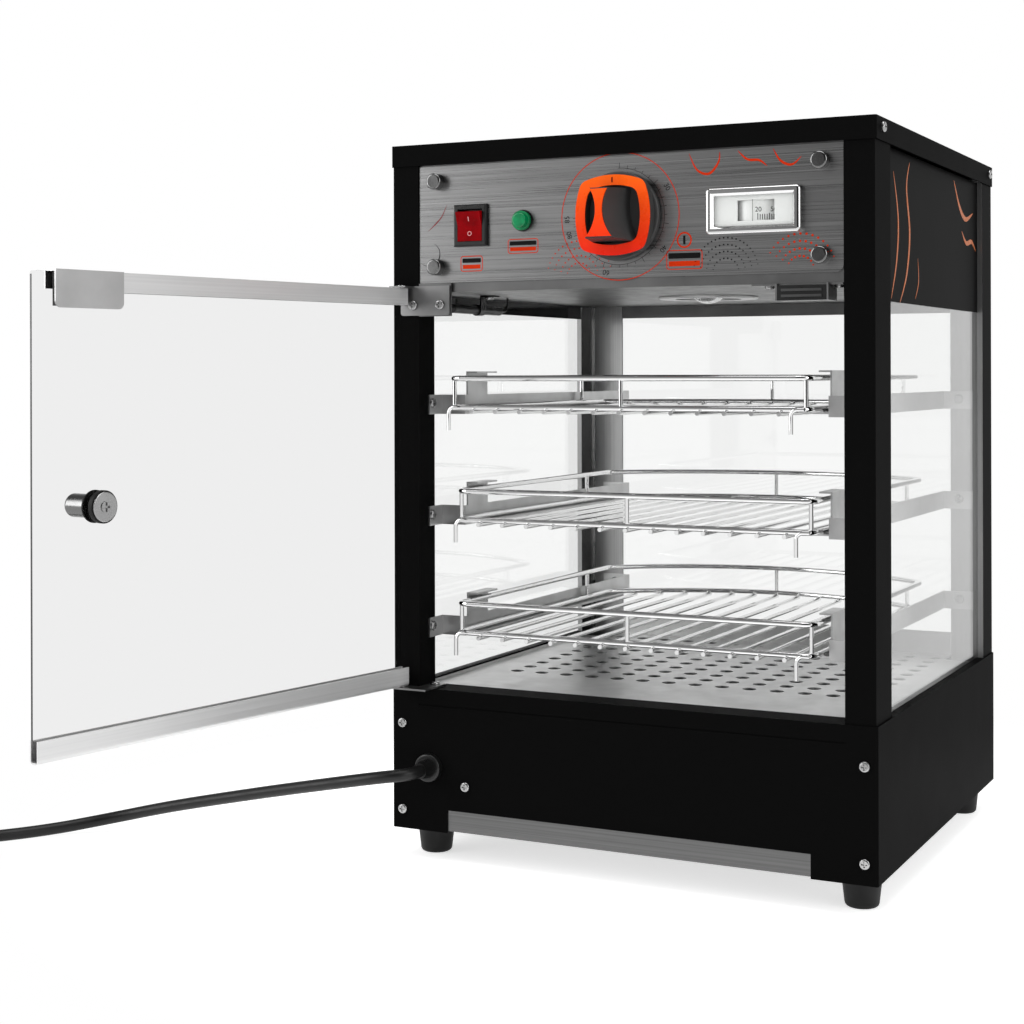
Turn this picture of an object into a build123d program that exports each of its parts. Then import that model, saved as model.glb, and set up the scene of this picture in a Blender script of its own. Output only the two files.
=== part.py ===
from build123d import *
import math
import os

# A countertop pizza warmer: a glazed cabinet with a heated base, three sliding wire racks, a control
# panel under its cap and a frameless glass door. Millimetres, +Z up, the front with door and controls
# faces -Y. The origin lies on the surface it stands on, below the middle of the cabinet.
# The door is modelled closed and then turned to its open rest position.

# Cabinet
cabinet_width = 353.0
cabinet_depth = 343.0
foot_height = 21.5
base_height = 100.7
floor_drop = 3.2
first_rack_height = 42.7
rack_pitch = 80.0
top_rack_headroom = 81.3
control_box_height = 105.0
cap_height = 15.0
sheet = 1.2
thin_sheet = 1.0
seat_gap = 0.3
case_corner = 1.6
cap_screw_rise = 8.8
cap_screw_front = 15.3
cap_screw_rear = 5.1

# Posts
post_face = 20.3
front_post_side = 36.6
front_post_return = 22.8
rear_post_side = 31.7
rear_post_flange = 34.1
rear_flange_inset = 5.0
lip_reach = 4.0

# Base shell
front_flange = 24.0
side_flange = 10.3
foot_flange = 33.0
notch_height = 16.0
notch_margin = 44.0
seam_drop = 11.2
seam_depth = 0.5
seam_height = 1.0
base_screw_low = 13.8
base_screw_high = 75.2
base_screw_inset = 8.5
earth_screw_margin = 58.8
earth_screw_rise = 34.0
upstand_lap_x = 6.0
upstand_lap_z = 4.0

# Glass
side_glass_thickness = 4.0
rear_glass_thickness = 4.0
door_glass_thickness = 5.0
side_glass_top_tuck = 7.0
rear_lip_height = 18.0
ceiling_lip_drop = 10.0

# Floor plate
hole_diameter = 10.0
hole_pitch_x = 20.6
hole_pitch_y = 22.0
hole_rows = 10
hole_rear_margin = 22.5
hole_side_margin = 30.0

# Ceiling plate, the rail under the cap and the rear cover
ceiling_front_lap = 22.0
ceiling_side_flange = 14.0
hinge_tab_width = 26.0
hinge_tab_drop = 17.0
frame_depth = 30.0
frame_drop = 20.0
cover_lap = 1.2
cover_screw_inset = 25.0
cover_screw_low = 22.0
cover_screw_high = 23.0
vent_count = 12
vent_pitch = 18.0
vent_width = 4.0
vent_bottom = 35.0
vent_top = 60.0

# Control panel, with its fittings placed from its ends and from the cabinet's top
panel_recess = 2.2
panel_top_drop = 16.0
panel_bottom_drop = 98.4
panel_gap = 0.4
panel_corner = 5.0
stud_margin = 14.5
stud_inset = 11.0
stud_head_diameter = 11.5
stud_head_height = 7.0
stud_edge = 1.5
stud_shank_length = 6.0
control_line_drop = 57.0
switch_margin = 41.8
switch_lower = 1.8
switch_bezel_width = 25.9
switch_bezel_height = 29.4
switch_bezel_depth = 3.0
switch_housing_half_x = 11.2
switch_housing_half_z = 12.2
switch_housing_depth = 22.0
switch_edge = 1.2
switch_room_depth = 5.0
switch_tab_x = 5.0
switch_tab_z = 7.0
switch_tab_width = 6.0
switch_tab_length = 8.0
switch_tab_thickness = 0.8
rocker_width = 19.0
rocker_height = 20.6
rocker_reach = 3.4
rocker_stand = 0.2
rocker_side_gap = 0.3
rocker_end_gap = 1.1
rocker_tilt = 10.0
rocker_hub = 2.0
rocker_pin_diameter = 2.4
pin_end_wall = 0.5
pilot_margin = 82.0
pilot_lens_diameter = 13.4
pilot_lens_height = 6.0
pilot_barrel_diameter = 11.0
pilot_barrel_length = 24.0
pilot_rim_reach = 0.8
pilot_rim_height = 1.2
pilot_dome_step = 1.6
pilot_dome_edge = 1.0
pilot_nut_reach = 3.0
pilot_nut_height = 3.0
knob_skirt_diameter = 60.0
knob_skirt_height = 4.0
knob_skirt_edge = 1.5
knob_corner_round = 7.0
knob_face_half = 27.0
knob_corner_half = 22.5
knob_rim_height = 11.0
knob_rim_width = 7.0
knob_inlay = 1.0
knob_recess_depth = 7.0
grip_height = 34.0
grip_end_half = 10.0
grip_waist_half = 3.0
grip_half_length = 17.5
grip_spread_end = 6.5
grip_spread_waist = 7.0
grip_top_narrowing = 0.65
grip_cap_margin = 0.8
knob_clearance = 0.6
shaft_diameter = 6.0
shaft_cover = 10.0
shaft_hole_play = 1.5
shaft_socket = 20.0
thermostat_size = 34.0
thermostat_gap = 4.0
thermostat_depth = 24.0
thermostat_bush_wall = 3.0
thermometer_margin = 59.1
thermometer_width = 64.5
thermometer_height = 30.5
bezel_depth = 6.0
bezel_corner = 3.0
bezel_edge = 2.0
housing_depth = 52.0
housing_inset_x = 2.6
housing_inset_z = 2.0
housing_wall = 1.5
window_width = 54.0
window_height = 20.0
window_bevel = 1.5
pane_inset = 2.0
pane_thickness = 1.5
pane_lap_x = 2.0
pane_lap_z = 1.5
drum_diameter = 50.0
drum_height = 20.0
drum_wall = 1.5
drum_gap = 1.1
drum_pin_diameter = 3.0

# Lamp, sensor and catch under the ceiling
lamp_ring_diameter = 75.0
lamp_ring_bore = 52.0
lamp_ring_thickness = 2.0
lamp_ring_edge = 1.2
lamp_collar_height = 6.0
lamp_strap_half = 38.0
lamp_strap_width = 20.0
lamp_strap_height = 46.0
lamp_foot_length = 8.0
socket_diameter = 27.0
socket_length = 22.0
socket_bore = 14.0
socket_roof = 3.0
bulb_diameter = 32.0
bulb_sink = 1.5
sensor_diameter = 6.5
sensor_length = 79.0
sensor_margin = 31.5
sensor_front = 30.5
sensor_drop = 10.5
capillary_diameter = 1.6
capillary_gap = 0.5
capillary_run = 12.0
capillary_rise = 14.0
capillary_bend = 7.0
clip_place = 0.55
clip_screw_offset = 9.0
clip_width = 8.0
clip_tongue = 12.0
catch_margin = 30.0
catch_screw_back = 11.0
catch_body_width = 33.0
catch_left_ear = 18.0
catch_right_ear = 10.0
catch_body_height = 11.0
catch_body_depth = 20.0
pole_height = 1.6
pole_proud = 0.8

# Racks and their rails
rack_wire = 4.0
rod_wire = 3.0
rod_pitch = 18.7
rail_pair_height = 20.3
rack_side_gap = 2.0
rack_end_gap = 3.3
rack_back_bow = 53.0
rack_corner = 8.0
rack_back_corner = 12.0
rack_post_back = 94.0
rack_depth_margin = 25.0
rod_stub = 4.0
rod_overhang = 1.5
hook_drop = 16.0
hook_start = 8.0
hook_inset = 11.0
hook_bend = 4.5
weld_sink = 0.5
rail_inset = 41.5
rail_height = 14.0
rail_below = 3.5
rail_front = 33.5
rail_ledge = 11.0
tab_length = 31.0
tab_rise = 25.3
tab_lip = 9.0
tab_back = 4.0
ledge_short = 6.0
rear_ear_length = 24.0
ear_length = 19.0
rail_screw_front = 4.0
rail_screw_rear = 13.0
rail_screw_rise = 2.5
upper_rack_pull = 10.0

# Door
hinge_inset = 11.5
hinge_stand_off = 6.5
door_open = 100.3
door_narrowing = 31.0
door_bottom_gap = 1.5
door_top_height = 283.8
channel_wall = 1.0
top_channel_height = 12.0
bottom_channel_height = 13.3
channel_end = 3.5
strike_width = 50.5
strike_margin = 11.0
strike_height = 22.0
strike_outer_leg = 10.0
strike_pad = 3.0
strike_corner = 4.0
strike_pad_margin = 1.0
glass_start = 0.5
glass_corner = 1.5
bottom_channel_edge = 2.4
door_knob_margin = 47.2
door_knob_drop = 138.3
door_knob_diameter = 14.2
door_knob_length = 20.0
door_knob_washer = 19.6
door_knob_edge = 2.5
door_knob_bore = 12.0
door_screw_grip = 8.0
door_disc_diameter = 17.8
disc_cross_length = 5.6
disc_cross_width = 1.4
inner_washer_thickness = 3.0
outer_washer_thickness = 1.0
disc_thickness = 1.2
hinge_pin_diameter = 4.8
pin_play = 0.05
hinge_leaf_left = 4.0
hinge_leaf_right = 35.5
hinge_leaf_corner = 2.0
hinge_leaf_height = 19.6
hinge_ear_reach = 5.5
hinge_ear_half = 6.5
hinge_screw_drop = 12.0
hinge_screw_left = 6.2
hinge_screw_right = 28.0
bottom_hinge_right = 22.0
bottom_hinge_back = 18.0
bottom_hinge_screw_x = 16.5
bottom_hinge_screw_y = 12.0
pin_foot_gap = 0.1
pin_head_stand = 0.6
pin_reach = 11.0

# Fasteners
screw_head_diameter = 7.0
screw_head_height = 2.0
screw_shank = 4.0
screw_length = 4.0
cross_width = 1.0
cross_length = 4.0
cross_depth = 1.2
foot_top_diameter = 27.0
foot_bottom_diameter = 22.0
foot_inset_x = 19.0
foot_inset_y = 30.2
foot_edge = 3.0
foot_recess_diameter = 10.0
foot_recess_depth = 9.0

# Heating element and base contents
element_diameter = 8.0
element_drop = 20.0
element_side_margin = 70.0
element_end_margin = 55.0
element_bend = 22.0
element_bracket_width = 12.0
element_bracket_y = 20.0
element_loop_step = 50.0
terminal_length = 46.0
terminal_width = 22.0
terminal_height = 18.0
terminal_margin_x = 62.0
terminal_margin_y = 52.0
terminal_pitch = 15.0
terminal_well_diameter = 8.0
terminal_well_depth = 6.0

# Mains cord
cord_diameter = 8.7
gland_margin = 30.3
gland_z = 66.8
gland_length = 15.0
gland_collar_length = 5.0
gland_collar_edge = 1.5
gland_thread_length = 12.0
gland_nut_height = 4.0
gland_lip = 1.0
gland_diameter = 20.0
gland_neck_diameter = 14.0
gland_thread_diameter = 12.0
gland_nut_diameter = 17.0
cord_floor_gap = 0.05
coil_gap = 0.5
coil_inner_radius = 33.0
coil_turns_in = 4
coil_turns_out = 5
coil_last_widening = 5.0
plug_length = 38.0
plug_width = 29.0
plug_corner = 6.0
sleeve_length = 16.0
sleeve_diameter = 11.5
blade_length = 15.9
blade_width = 6.3
blade_thickness = 1.5
blade_spacing = 12.7
earth_pin_diameter = 4.8
earth_pin_length = 20.0
earth_pin_offset = 8.0

# Planes and heights that follow from the sizes above
half_width = cabinet_width / 2
half_depth = cabinet_depth / 2
gland_x = half_width - gland_margin
inner_x = half_width - sheet
inner_y = half_depth - sheet
base_top = foot_height + base_height
floor_top = base_top - floor_drop
ceiling_z = floor_top + first_rack_height + 2 * rack_pitch + top_rack_headroom
cabinet_height = ceiling_z + control_box_height
cap_bottom = cabinet_height - cap_height
cap_inner_top = cabinet_height - sheet
post_x = inner_x - post_face
post_bottom = foot_height + sheet + thin_sheet
front_post_back = -inner_y + front_post_side
rear_post_front = inner_y - rear_post_side
rear_flange_back = inner_y - rear_flange_inset
rear_flange_front = rear_flange_back - sheet
side_glass_outer = inner_x - lip_reach
side_glass_inner = side_glass_outer - side_glass_thickness
panel_front = -half_depth + panel_recess
panel_back = panel_front + thin_sheet
panel_x = post_x - panel_gap
panel_top = cabinet_height - panel_top_drop
panel_bottom = cabinet_height - panel_bottom_drop
control_z = cabinet_height - control_line_drop
switch_x = -panel_x + switch_margin
switch_z = control_z - switch_lower
pilot_x = -panel_x + pilot_margin
thermometer_x = panel_x - thermometer_margin
rail_x = half_width - rail_inset
rack_half = rail_x - rack_side_gap - rack_wire / 2
rack_depth = cabinet_depth - rack_depth_margin
rack_in_place = rear_flange_back - rack_end_gap - rack_wire / 2 - rack_depth
rail_front_y = -half_depth + rail_front
hinge_x = -half_width + hinge_inset
hinge_y = -half_depth - hinge_stand_off
door_width = cabinet_width - door_narrowing
door_inner = hinge_y + door_glass_thickness / 2
door_outer = hinge_y - door_glass_thickness / 2
door_bottom = base_top + door_bottom_gap
door_top = door_bottom + door_top_height - door_bottom_gap
door_channel_top = door_top - channel_wall
hinge_ear_bottom = door_top + seat_gap
element_z = floor_top - element_drop


def box(x0, x1, y0, y1, z0, z1):
    """A block between two corners."""
    block = Box(abs(x1 - x0), abs(y1 - y0), abs(z1 - z0))
    return Pos((x0 + x1) / 2, (y0 + y1) / 2, (z0 + z1) / 2) * block


def bar(start, end, diameter):
    """A round bar from one point to another."""
    start = Vector(*start)
    span = Vector(*end) - start
    base = Plane(origin=start, z_dir=span.normalized())
    return base * Cylinder(diameter / 2, span.length, align=(Align.CENTER, Align.CENTER, Align.MIN))


def mirrored(solid):
    """The same shape on the other side of the cabinet's middle plane."""
    return mirror(solid, about=Plane.YZ)


def swept_tube(path, diameter):
    """A round tube along a wire."""
    return sweep(Plane(origin=path @ 0, z_dir=path % 0) * Circle(diameter / 2), path=path)


def save(name, *solids):
    """Write one node, which may hold several separate solids."""
    flat = [piece for solid in solids for piece in solid.solids()]
    export_step(Compound(children=flat) if len(flat) > 1 else flat[0], f"parts/{name}.step")


def pan_screw(length):
    """A cross-recessed pan head screw, seated on z = 0 with its shank going down."""
    head = Cylinder(screw_head_diameter / 2, screw_head_height, align=(Align.CENTER, Align.CENTER, Align.MIN))
    head = fillet(head.edges().group_by(Axis.Z)[-1], screw_head_height * 0.6)
    shank = Pos(0, 0, -length / 2) * Cylinder(screw_shank / 2, length)
    slot = Box(cross_length, cross_width, cross_depth)
    recess = slot + Rot(0, 0, 90) * slot
    return head + shank - Pos(0, 0, screw_head_height - cross_depth / 2) * recess


def screws_on(seats, length=screw_length):
    """One screw on each seat, where a seat is a point and the direction its head faces."""
    screw = pan_screw(length)
    return [Plane(origin=point, z_dir=facing) * screw for point, facing in seats]


def holes_for(seats, reach=screw_length, diameter=screw_shank):
    """The holes for the screws on these seats."""
    drill = Cylinder(diameter / 2, 2 * reach)
    return [Plane(origin=point, z_dir=facing) * drill for point, facing in seats]


def cap_seats():
    """Screws through the cap's sides into the posts."""
    height = cap_bottom + cap_screw_rise
    front = -half_depth + cap_screw_front
    rear = rear_flange_front - cap_screw_rear
    left = [((-half_width, y, height), (-1, 0, 0)) for y in (front, rear)]
    right = [((half_width, y, height), (1, 0, 0)) for y in (front, rear)]
    return left + right


def base_seats():
    """Screws through the base's front into the front posts."""
    seats = []
    for side in (-1, 1):
        for height in (base_screw_low, base_screw_high):
            seats.append(((side * (half_width - base_screw_inset), -half_depth, foot_height + height), (0, -1, 0)))
    return seats


def earth_seat():
    """The lone screw on the base's front that carries the earth tag."""
    return [((-half_width + earth_screw_margin, -half_depth, foot_height + earth_screw_rise), (0, -1, 0))]


def rear_cover_seats():
    """Screws through the rear cover into the rear posts."""
    seats = []
    for side in (-1, 1):
        for height in (ceiling_z + cover_screw_low, cabinet_height - cover_screw_high):
            seats.append(((side * (inner_x - cover_screw_inset), rear_flange_back + sheet, height), (0, 1, 0)))
    return seats


def rack_heights():
    """Heights of the middle of each rack's bottom wire, lowest first."""
    return [floor_top + first_rack_height + level * rack_pitch for level in range(3)]


def rail_front_seats(side):
    """Screws through the rails' front ears into the front post's return."""
    x = side * (post_x - sheet)
    y = rail_front_y - ear_length + rail_screw_front
    return [((x, y, height + rail_screw_rise), (-side, 0, 0)) for height in rack_heights()]


def rail_rear_seats(side):
    """Screws through the rails' rear ears into the rear post's flange."""
    x = side * (rail_x + rail_screw_rear)
    y = rear_flange_front - sheet
    return [((x, y, height + rail_screw_rise), (0, -1, 0)) for height in rack_heights()]


def rail_seats(side):
    """All the screws of one side's rails."""
    return rail_front_seats(side) + rail_rear_seats(side)


def top_hinge_seats():
    """Screws of the top hinge plate: one in the post, one in the ceiling plate's tab."""
    front = -inner_y - sheet
    middle = door_top - hinge_screw_drop
    return [((hinge_x + x, front, middle), (0, -1, 0)) for x in (hinge_screw_left, hinge_screw_right)]


def bottom_hinge_seats():
    """The screw of the bottom hinge plate in the base's front flange."""
    x = hinge_x + bottom_hinge_screw_x
    y = -half_depth + bottom_hinge_screw_y
    return [((x, y, base_top + sheet), (0, 0, 1))]


def catch_seats():
    """Screws of the catch's two ears, from below into the ceiling plate."""
    left = catch_middle() - catch_body_width / 2 - catch_left_ear / 2
    right = catch_middle() + catch_body_width / 2 + catch_right_ear / 2
    height = ceiling_z - sheet
    back = panel_back + catch_screw_back
    return [((left, back, height), (0, 0, -1)), ((right, back, height), (0, 0, -1))]


def catch_middle():
    """Where the catch sits: near the middle of the closed door's strike plate."""
    return hinge_x + door_width - catch_margin


def stud_places():
    """The four panel screws."""
    reach = panel_x - stud_margin
    heights = (panel_top - stud_inset, panel_bottom + stud_inset)
    return [(side * reach, height) for side in (-1, 1) for height in heights]


def foot_places():
    """The middles of the four feet."""
    reach_x = half_width - foot_inset_x
    reach_y = half_depth - foot_inset_y
    return [(sx * reach_x, sy * reach_y) for sx in (-1, 1) for sy in (-1, 1)]


def make_top_cap():
    """The cap: a tray turned over, open below."""
    outer = box(-half_width, half_width, -half_depth, half_depth, cap_bottom, cabinet_height)
    outer = fillet(outer.edges().filter_by(Axis.Z), case_corner)
    inner = box(-inner_x, inner_x, -inner_y, inner_y, cap_bottom, cap_inner_top)
    return outer - inner - holes_for(cap_seats())


def make_front_post():
    """The right front post: a face, a side flange with a lip for the glass, and an inner return."""
    face = box(post_x, inner_x, -inner_y, -inner_y + sheet, post_bottom, cap_inner_top)
    side = box(inner_x - sheet, inner_x, -inner_y, front_post_back, post_bottom, cap_inner_top)
    lip_x = inner_x - lip_reach
    lip = box(lip_x, inner_x, front_post_back - sheet, front_post_back, base_top, cap_inner_top)
    inner = box(post_x, post_x + sheet, -inner_y, -inner_y + front_post_return, post_bottom, cap_inner_top)
    post = face + side + lip + inner
    return post - holes_for(cap_seats()) - holes_for(base_seats()) - holes_for(rail_seats(1))


def make_front_posts():
    """Both front posts; the left one also takes the top hinge."""
    right = make_front_post()
    left = mirrored(right) - holes_for(top_hinge_seats())
    return left, right


def make_rear_post():
    """The right rear post: a side flange with a lip for the glass and a flange across the back."""
    side = box(inner_x - sheet, inner_x, rear_post_front, inner_y, post_bottom, cap_inner_top)
    lip = box(inner_x - lip_reach, inner_x, rear_post_front, rear_post_front + sheet, base_top, cap_inner_top)
    flange_x = inner_x - rear_post_flange
    flange = box(flange_x, inner_x, rear_flange_front, rear_flange_back, post_bottom, cap_inner_top)
    post = side + lip + flange
    return post - holes_for(cap_seats()) - holes_for(rail_seats(1)) - holes_for(rear_cover_seats())


def make_base_shell():
    """The base: four walls with folded flanges, a front notch and a pressed seam."""
    outer = box(-half_width, half_width, -half_depth, half_depth, foot_height, base_top)
    outer = fillet(outer.edges().filter_by(Axis.Z), case_corner)
    room = box(-inner_x, inner_x, -inner_y, inner_y, foot_height + sheet, base_top - sheet)
    mouth_x = side_glass_inner - seat_gap
    mouth = box(-mouth_x, mouth_x, -half_depth + front_flange, rear_flange_back, base_top - sheet, base_top)
    bottom_x = half_width - foot_flange
    under = box(-bottom_x, bottom_x, -inner_y, inner_y, foot_height, foot_height + sheet)
    notch_x = half_width - notch_margin
    notch_top = foot_height + notch_height
    notch = box(-notch_x, notch_x, -half_depth, -inner_y, foot_height, notch_top)
    seam_z = base_top - seam_drop
    seam = box(-post_x, post_x, -half_depth, -half_depth + seam_depth, seam_z - seam_height, seam_z)
    shell = outer - room - mouth - under - notch - seam
    gap = 2 * seat_gap
    front_corner = box(post_x - gap, inner_x, -inner_y, front_post_back, base_top - sheet, base_top)
    rear_corner = box(inner_x - rear_post_flange - gap, inner_x, rear_post_front, inner_y, base_top - sheet, base_top)
    corners = [front_corner, rear_corner, mirrored(front_corner), mirrored(rear_corner)]
    shell = shell - corners - holes_for(base_seats()) - holes_for(earth_seat()) - holes_for(bottom_hinge_seats())
    facing = Plane(origin=(-gland_x, -half_depth, gland_z), z_dir=(0, -1, 0))
    gland = facing * Cylinder(gland_thread_diameter / 2, 2 * gland_thread_length)
    feet = [Pos(x, y, foot_height) * Cylinder(screw_shank / 2, 20) for x, y in foot_places()]
    return shell - gland - feet


def make_bottom_plate():
    """The plate that closes the base, with a front upstand that shows in the notch."""
    z0 = foot_height + sheet
    plate = box(-inner_x, inner_x, -inner_y, inner_y, z0, z0 + thin_sheet)
    reach = half_width - notch_margin + upstand_lap_x
    upstand_top = foot_height + notch_height + upstand_lap_z
    upstand = box(-reach, reach, -inner_y, -inner_y + thin_sheet, z0, upstand_top)
    feet = [Pos(x, y, z0) * Cylinder(screw_shank / 2, 20) for x, y in foot_places()]
    return plate + upstand - feet


def make_floor_plate():
    """The perforated chamber floor, a shallow tray that hangs under the base's top flanges."""
    edge_x = side_glass_inner - seat_gap
    front = -half_depth + front_flange
    back = rear_flange_back - sheet
    under = floor_top - thin_sheet
    flange_under = base_top - sheet
    plate = box(-edge_x - thin_sheet, edge_x + thin_sheet, front - thin_sheet, back, under, floor_top)
    left = box(-edge_x - thin_sheet, -edge_x, front, rear_post_front - seat_gap, under, flange_under)
    front_edge = box(-post_x + 1, post_x - 1, front - thin_sheet, front, under, flange_under)
    lip_x = inner_x - rear_post_flange - seat_gap
    rear_lip = box(-lip_x, lip_x, back, back + sheet, under, floor_top + rear_lip_height)
    rear_corner = box(lip_x, inner_x, rear_post_front - seat_gap, half_depth, under, floor_top)
    return_back = -inner_y + front_post_return + seat_gap
    front_corner = box(post_x - seat_gap, inner_x, -inner_y, return_back, under, flange_under)
    tray = plate + left + mirrored(left) + front_edge + rear_lip
    drill = Cylinder(hole_diameter / 2, 6)
    half_columns = int((edge_x - hole_side_margin + hole_pitch_x / 2) / hole_pitch_x)
    holes = []
    for column in range(half_columns):
        x = hole_pitch_x * (column + 0.5)
        for row in range(hole_rows):
            y = back - hole_rear_margin - row * hole_pitch_y
            holes.append(Pos(x, y, floor_top) * drill)
            holes.append(Pos(-x, y, floor_top) * drill)
    return tray - holes - corner_cut(rear_corner) - corner_cut(front_corner)


def corner_cut(corner):
    """A corner and its mirror image, to clear the rear posts."""
    return [corner, mirrored(corner)]


def make_side_glass():
    """The right side pane."""
    front = -inner_y + sheet + 10.0
    back = rear_flange_front - seat_gap
    return box(side_glass_inner, side_glass_outer, front, back, base_top, cap_bottom + side_glass_top_tuck)


def make_rear_glass():
    """The rear pane, on the back of the rear posts."""
    reach = inner_x - sheet - seat_gap
    top = ceiling_z + cover_lap
    return box(-reach, reach, rear_flange_back, rear_flange_back + rear_glass_thickness, base_top, top)


def make_rear_cover():
    """The sheet that closes the back of the control box, with vent slots."""
    reach = inner_x - sheet - seat_gap
    z0 = ceiling_z + cover_lap + seat_gap
    cover = box(-reach, reach, rear_flange_back, rear_flange_back + sheet, z0, cap_inner_top)
    half = vent_width / 2
    slots = []
    for index in range(vent_count):
        x = (index - (vent_count - 1) / 2) * vent_pitch
        slots.append(box(x - half, x + half, rear_flange_back - 1, inner_y, z0 + vent_bottom, z0 + vent_top))
    return cover - slots - holes_for(rear_cover_seats())


def make_ceiling_plate():
    """The chamber's ceiling, with flanges at the front, sides and back and a tab for the hinge."""
    top = ceiling_z + sheet
    front = panel_back + thin_sheet
    wide = side_glass_inner - seat_gap
    narrow = post_x - seat_gap
    step = -inner_y + front_post_return + seat_gap
    main = box(-wide, wide, step, rear_flange_front, ceiling_z, top)
    nose = box(-narrow, narrow, panel_back, step, ceiling_z, top)
    flange_top = panel_bottom + ceiling_front_lap
    front_flange_up = box(-narrow, narrow, panel_back, panel_back + thin_sheet, ceiling_z, flange_top)
    side_up = box(wide - sheet, wide, step, rear_flange_front, ceiling_z, top + ceiling_side_flange)
    lip_x = inner_x - rear_post_flange - seat_gap
    rear_lip = box(-lip_x, lip_x, rear_flange_front, rear_flange_back, ceiling_z - ceiling_lip_drop, top)
    tab_left = -post_x + seat_gap
    tab_right = tab_left + hinge_tab_width
    tab_bottom = ceiling_z - hinge_tab_drop
    tab = box(tab_left, tab_right, -inner_y, -inner_y + sheet, tab_bottom, panel_bottom - seat_gap)
    tab_root = box(tab_left, tab_right, -inner_y, front, ceiling_z, top)
    plate = main + nose + front_flange_up + side_up + mirrored(side_up) + rear_lip + tab + tab_root
    over = top + 2 * ceiling_side_flange
    rear_corner = box(lip_x, inner_x, rear_post_front, rear_flange_back, ceiling_z - 1, over)
    rear_corner = rear_corner - box(lip_x, wide, rear_post_front, rear_flange_front, ceiling_z - 1, over)
    lamp = Pos(0, 0, ceiling_z) * Cylinder(lamp_ring_bore / 2, 10)
    capillary_y = sensor_rear_y() + capillary_run
    capillary = Pos(-sensor_x(), capillary_y, ceiling_z) * Cylinder(capillary_diameter / 2 + capillary_gap, 10)
    clip = holes_for(clip_seat())
    studs = stud_holes()
    cuts = [lamp, capillary, *clip, *studs, *holes_for(catch_seats()), *holes_for(top_hinge_seats())]
    return plate - corner_cut(rear_corner) - cuts


def stud_holes():
    """The holes for the shanks of the panel screws."""
    drill = Cylinder(screw_shank / 2, 4 * stud_shank_length)
    return [Plane(origin=(x, panel_front, z), z_dir=(0, -1, 0)) * drill for x, z in stud_places()]


def make_upper_frame():
    """The rail under the cap that carries the panel's upper screws."""
    narrow = post_x - seat_gap
    back = panel_back + frame_depth
    web = box(-narrow, narrow, panel_back, back, cap_inner_top - sheet, cap_inner_top)
    flange = box(-narrow, narrow, panel_back, panel_back + thin_sheet, panel_top - frame_drop, cap_inner_top)
    return web + flange - stud_holes()


def make_control_panel():
    """The panel with its openings, one lower corner rounded."""
    plate = box(-panel_x, panel_x, panel_front, panel_back, panel_bottom, panel_top)
    lower_right = plate.edges().filter_by(Axis.Y).sort_by(lambda edge: edge.center().X - edge.center().Z)[-1]
    plate = fillet(lower_right, panel_corner)
    half_x = switch_housing_half_x
    half_z = switch_housing_half_z
    switch = box(switch_x - half_x, switch_x + half_x, panel_front - 1, panel_back + 1,
                 switch_z - half_z, switch_z + half_z)
    pilot = bar((pilot_x, panel_front - 3, control_z), (pilot_x, panel_back + 3, control_z), pilot_barrel_diameter)
    shaft_hole = shaft_diameter + 2 * shaft_hole_play
    shaft = bar((0, panel_front - 3, control_z), (0, panel_back + 3, control_z), shaft_hole)
    opening_x = thermometer_width / 2 - housing_inset_x
    opening_z = thermometer_height / 2 - housing_inset_z
    case = box(thermometer_x - opening_x, thermometer_x + opening_x, panel_front - 1, panel_back + 1,
               control_z - opening_z, control_z + opening_z)
    return plate - [switch, pilot, shaft, case] - stud_holes()


def make_panel_screws():
    """Four round-headed panel screws."""
    head = Cylinder(stud_head_diameter / 2, stud_head_height, align=(Align.CENTER, Align.CENTER, Align.MIN))
    head = fillet(head.edges().group_by(Axis.Z)[-1], stud_edge)
    screw = head + Pos(0, 0, -stud_shank_length / 2) * Cylinder(screw_shank / 2, stud_shank_length)
    return [Plane(origin=(x, panel_front, z), z_dir=(0, -1, 0)) * screw for x, z in stud_places()]


def rocker_pivot():
    """How far back the rocker's pin stands."""
    front = panel_front - switch_bezel_depth
    return front + rocker_reach - rocker_stand


def make_switch_body():
    """The switch's bezel and housing, with the room and pin holes for the rocker and four tabs behind."""
    pivot = rocker_pivot()
    x, z = switch_x, switch_z
    front = panel_front - switch_bezel_depth
    back = panel_front + switch_housing_depth
    half_x = switch_bezel_width / 2
    half_z = switch_bezel_height / 2
    bezel = box(x - half_x, x + half_x, front, panel_front, z - half_z, z + half_z)
    bezel = fillet(bezel.edges().group_by(Axis.Y)[0], switch_edge)
    wide = switch_housing_half_x
    high = switch_housing_half_z
    housing = box(x - wide, x + wide, panel_front, back, z - high, z + high)
    room_x = rocker_width / 2 + rocker_side_gap
    room_z = rocker_height / 2 + rocker_end_gap
    room = box(x - room_x, x + room_x, front, pivot + switch_room_depth, z - room_z, z + room_z)
    hole = Cylinder(rocker_pin_diameter / 2 + pin_play, 2 * (wide - pin_end_wall))
    pin = Pos(x, pivot, z) * Rot(0, 90, 0) * hole
    half_tab = switch_tab_width / 2
    thin = switch_tab_thickness / 2
    tabs = []
    for tab_x in (x - switch_tab_x, x + switch_tab_x):
        for tab_z in (z - switch_tab_z, z + switch_tab_z):
            tabs.append(box(tab_x - half_tab, tab_x + half_tab, back, back + switch_tab_length,
                            tab_z - thin, tab_z + thin))
    return bezel + housing + tabs - room - pin


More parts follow.
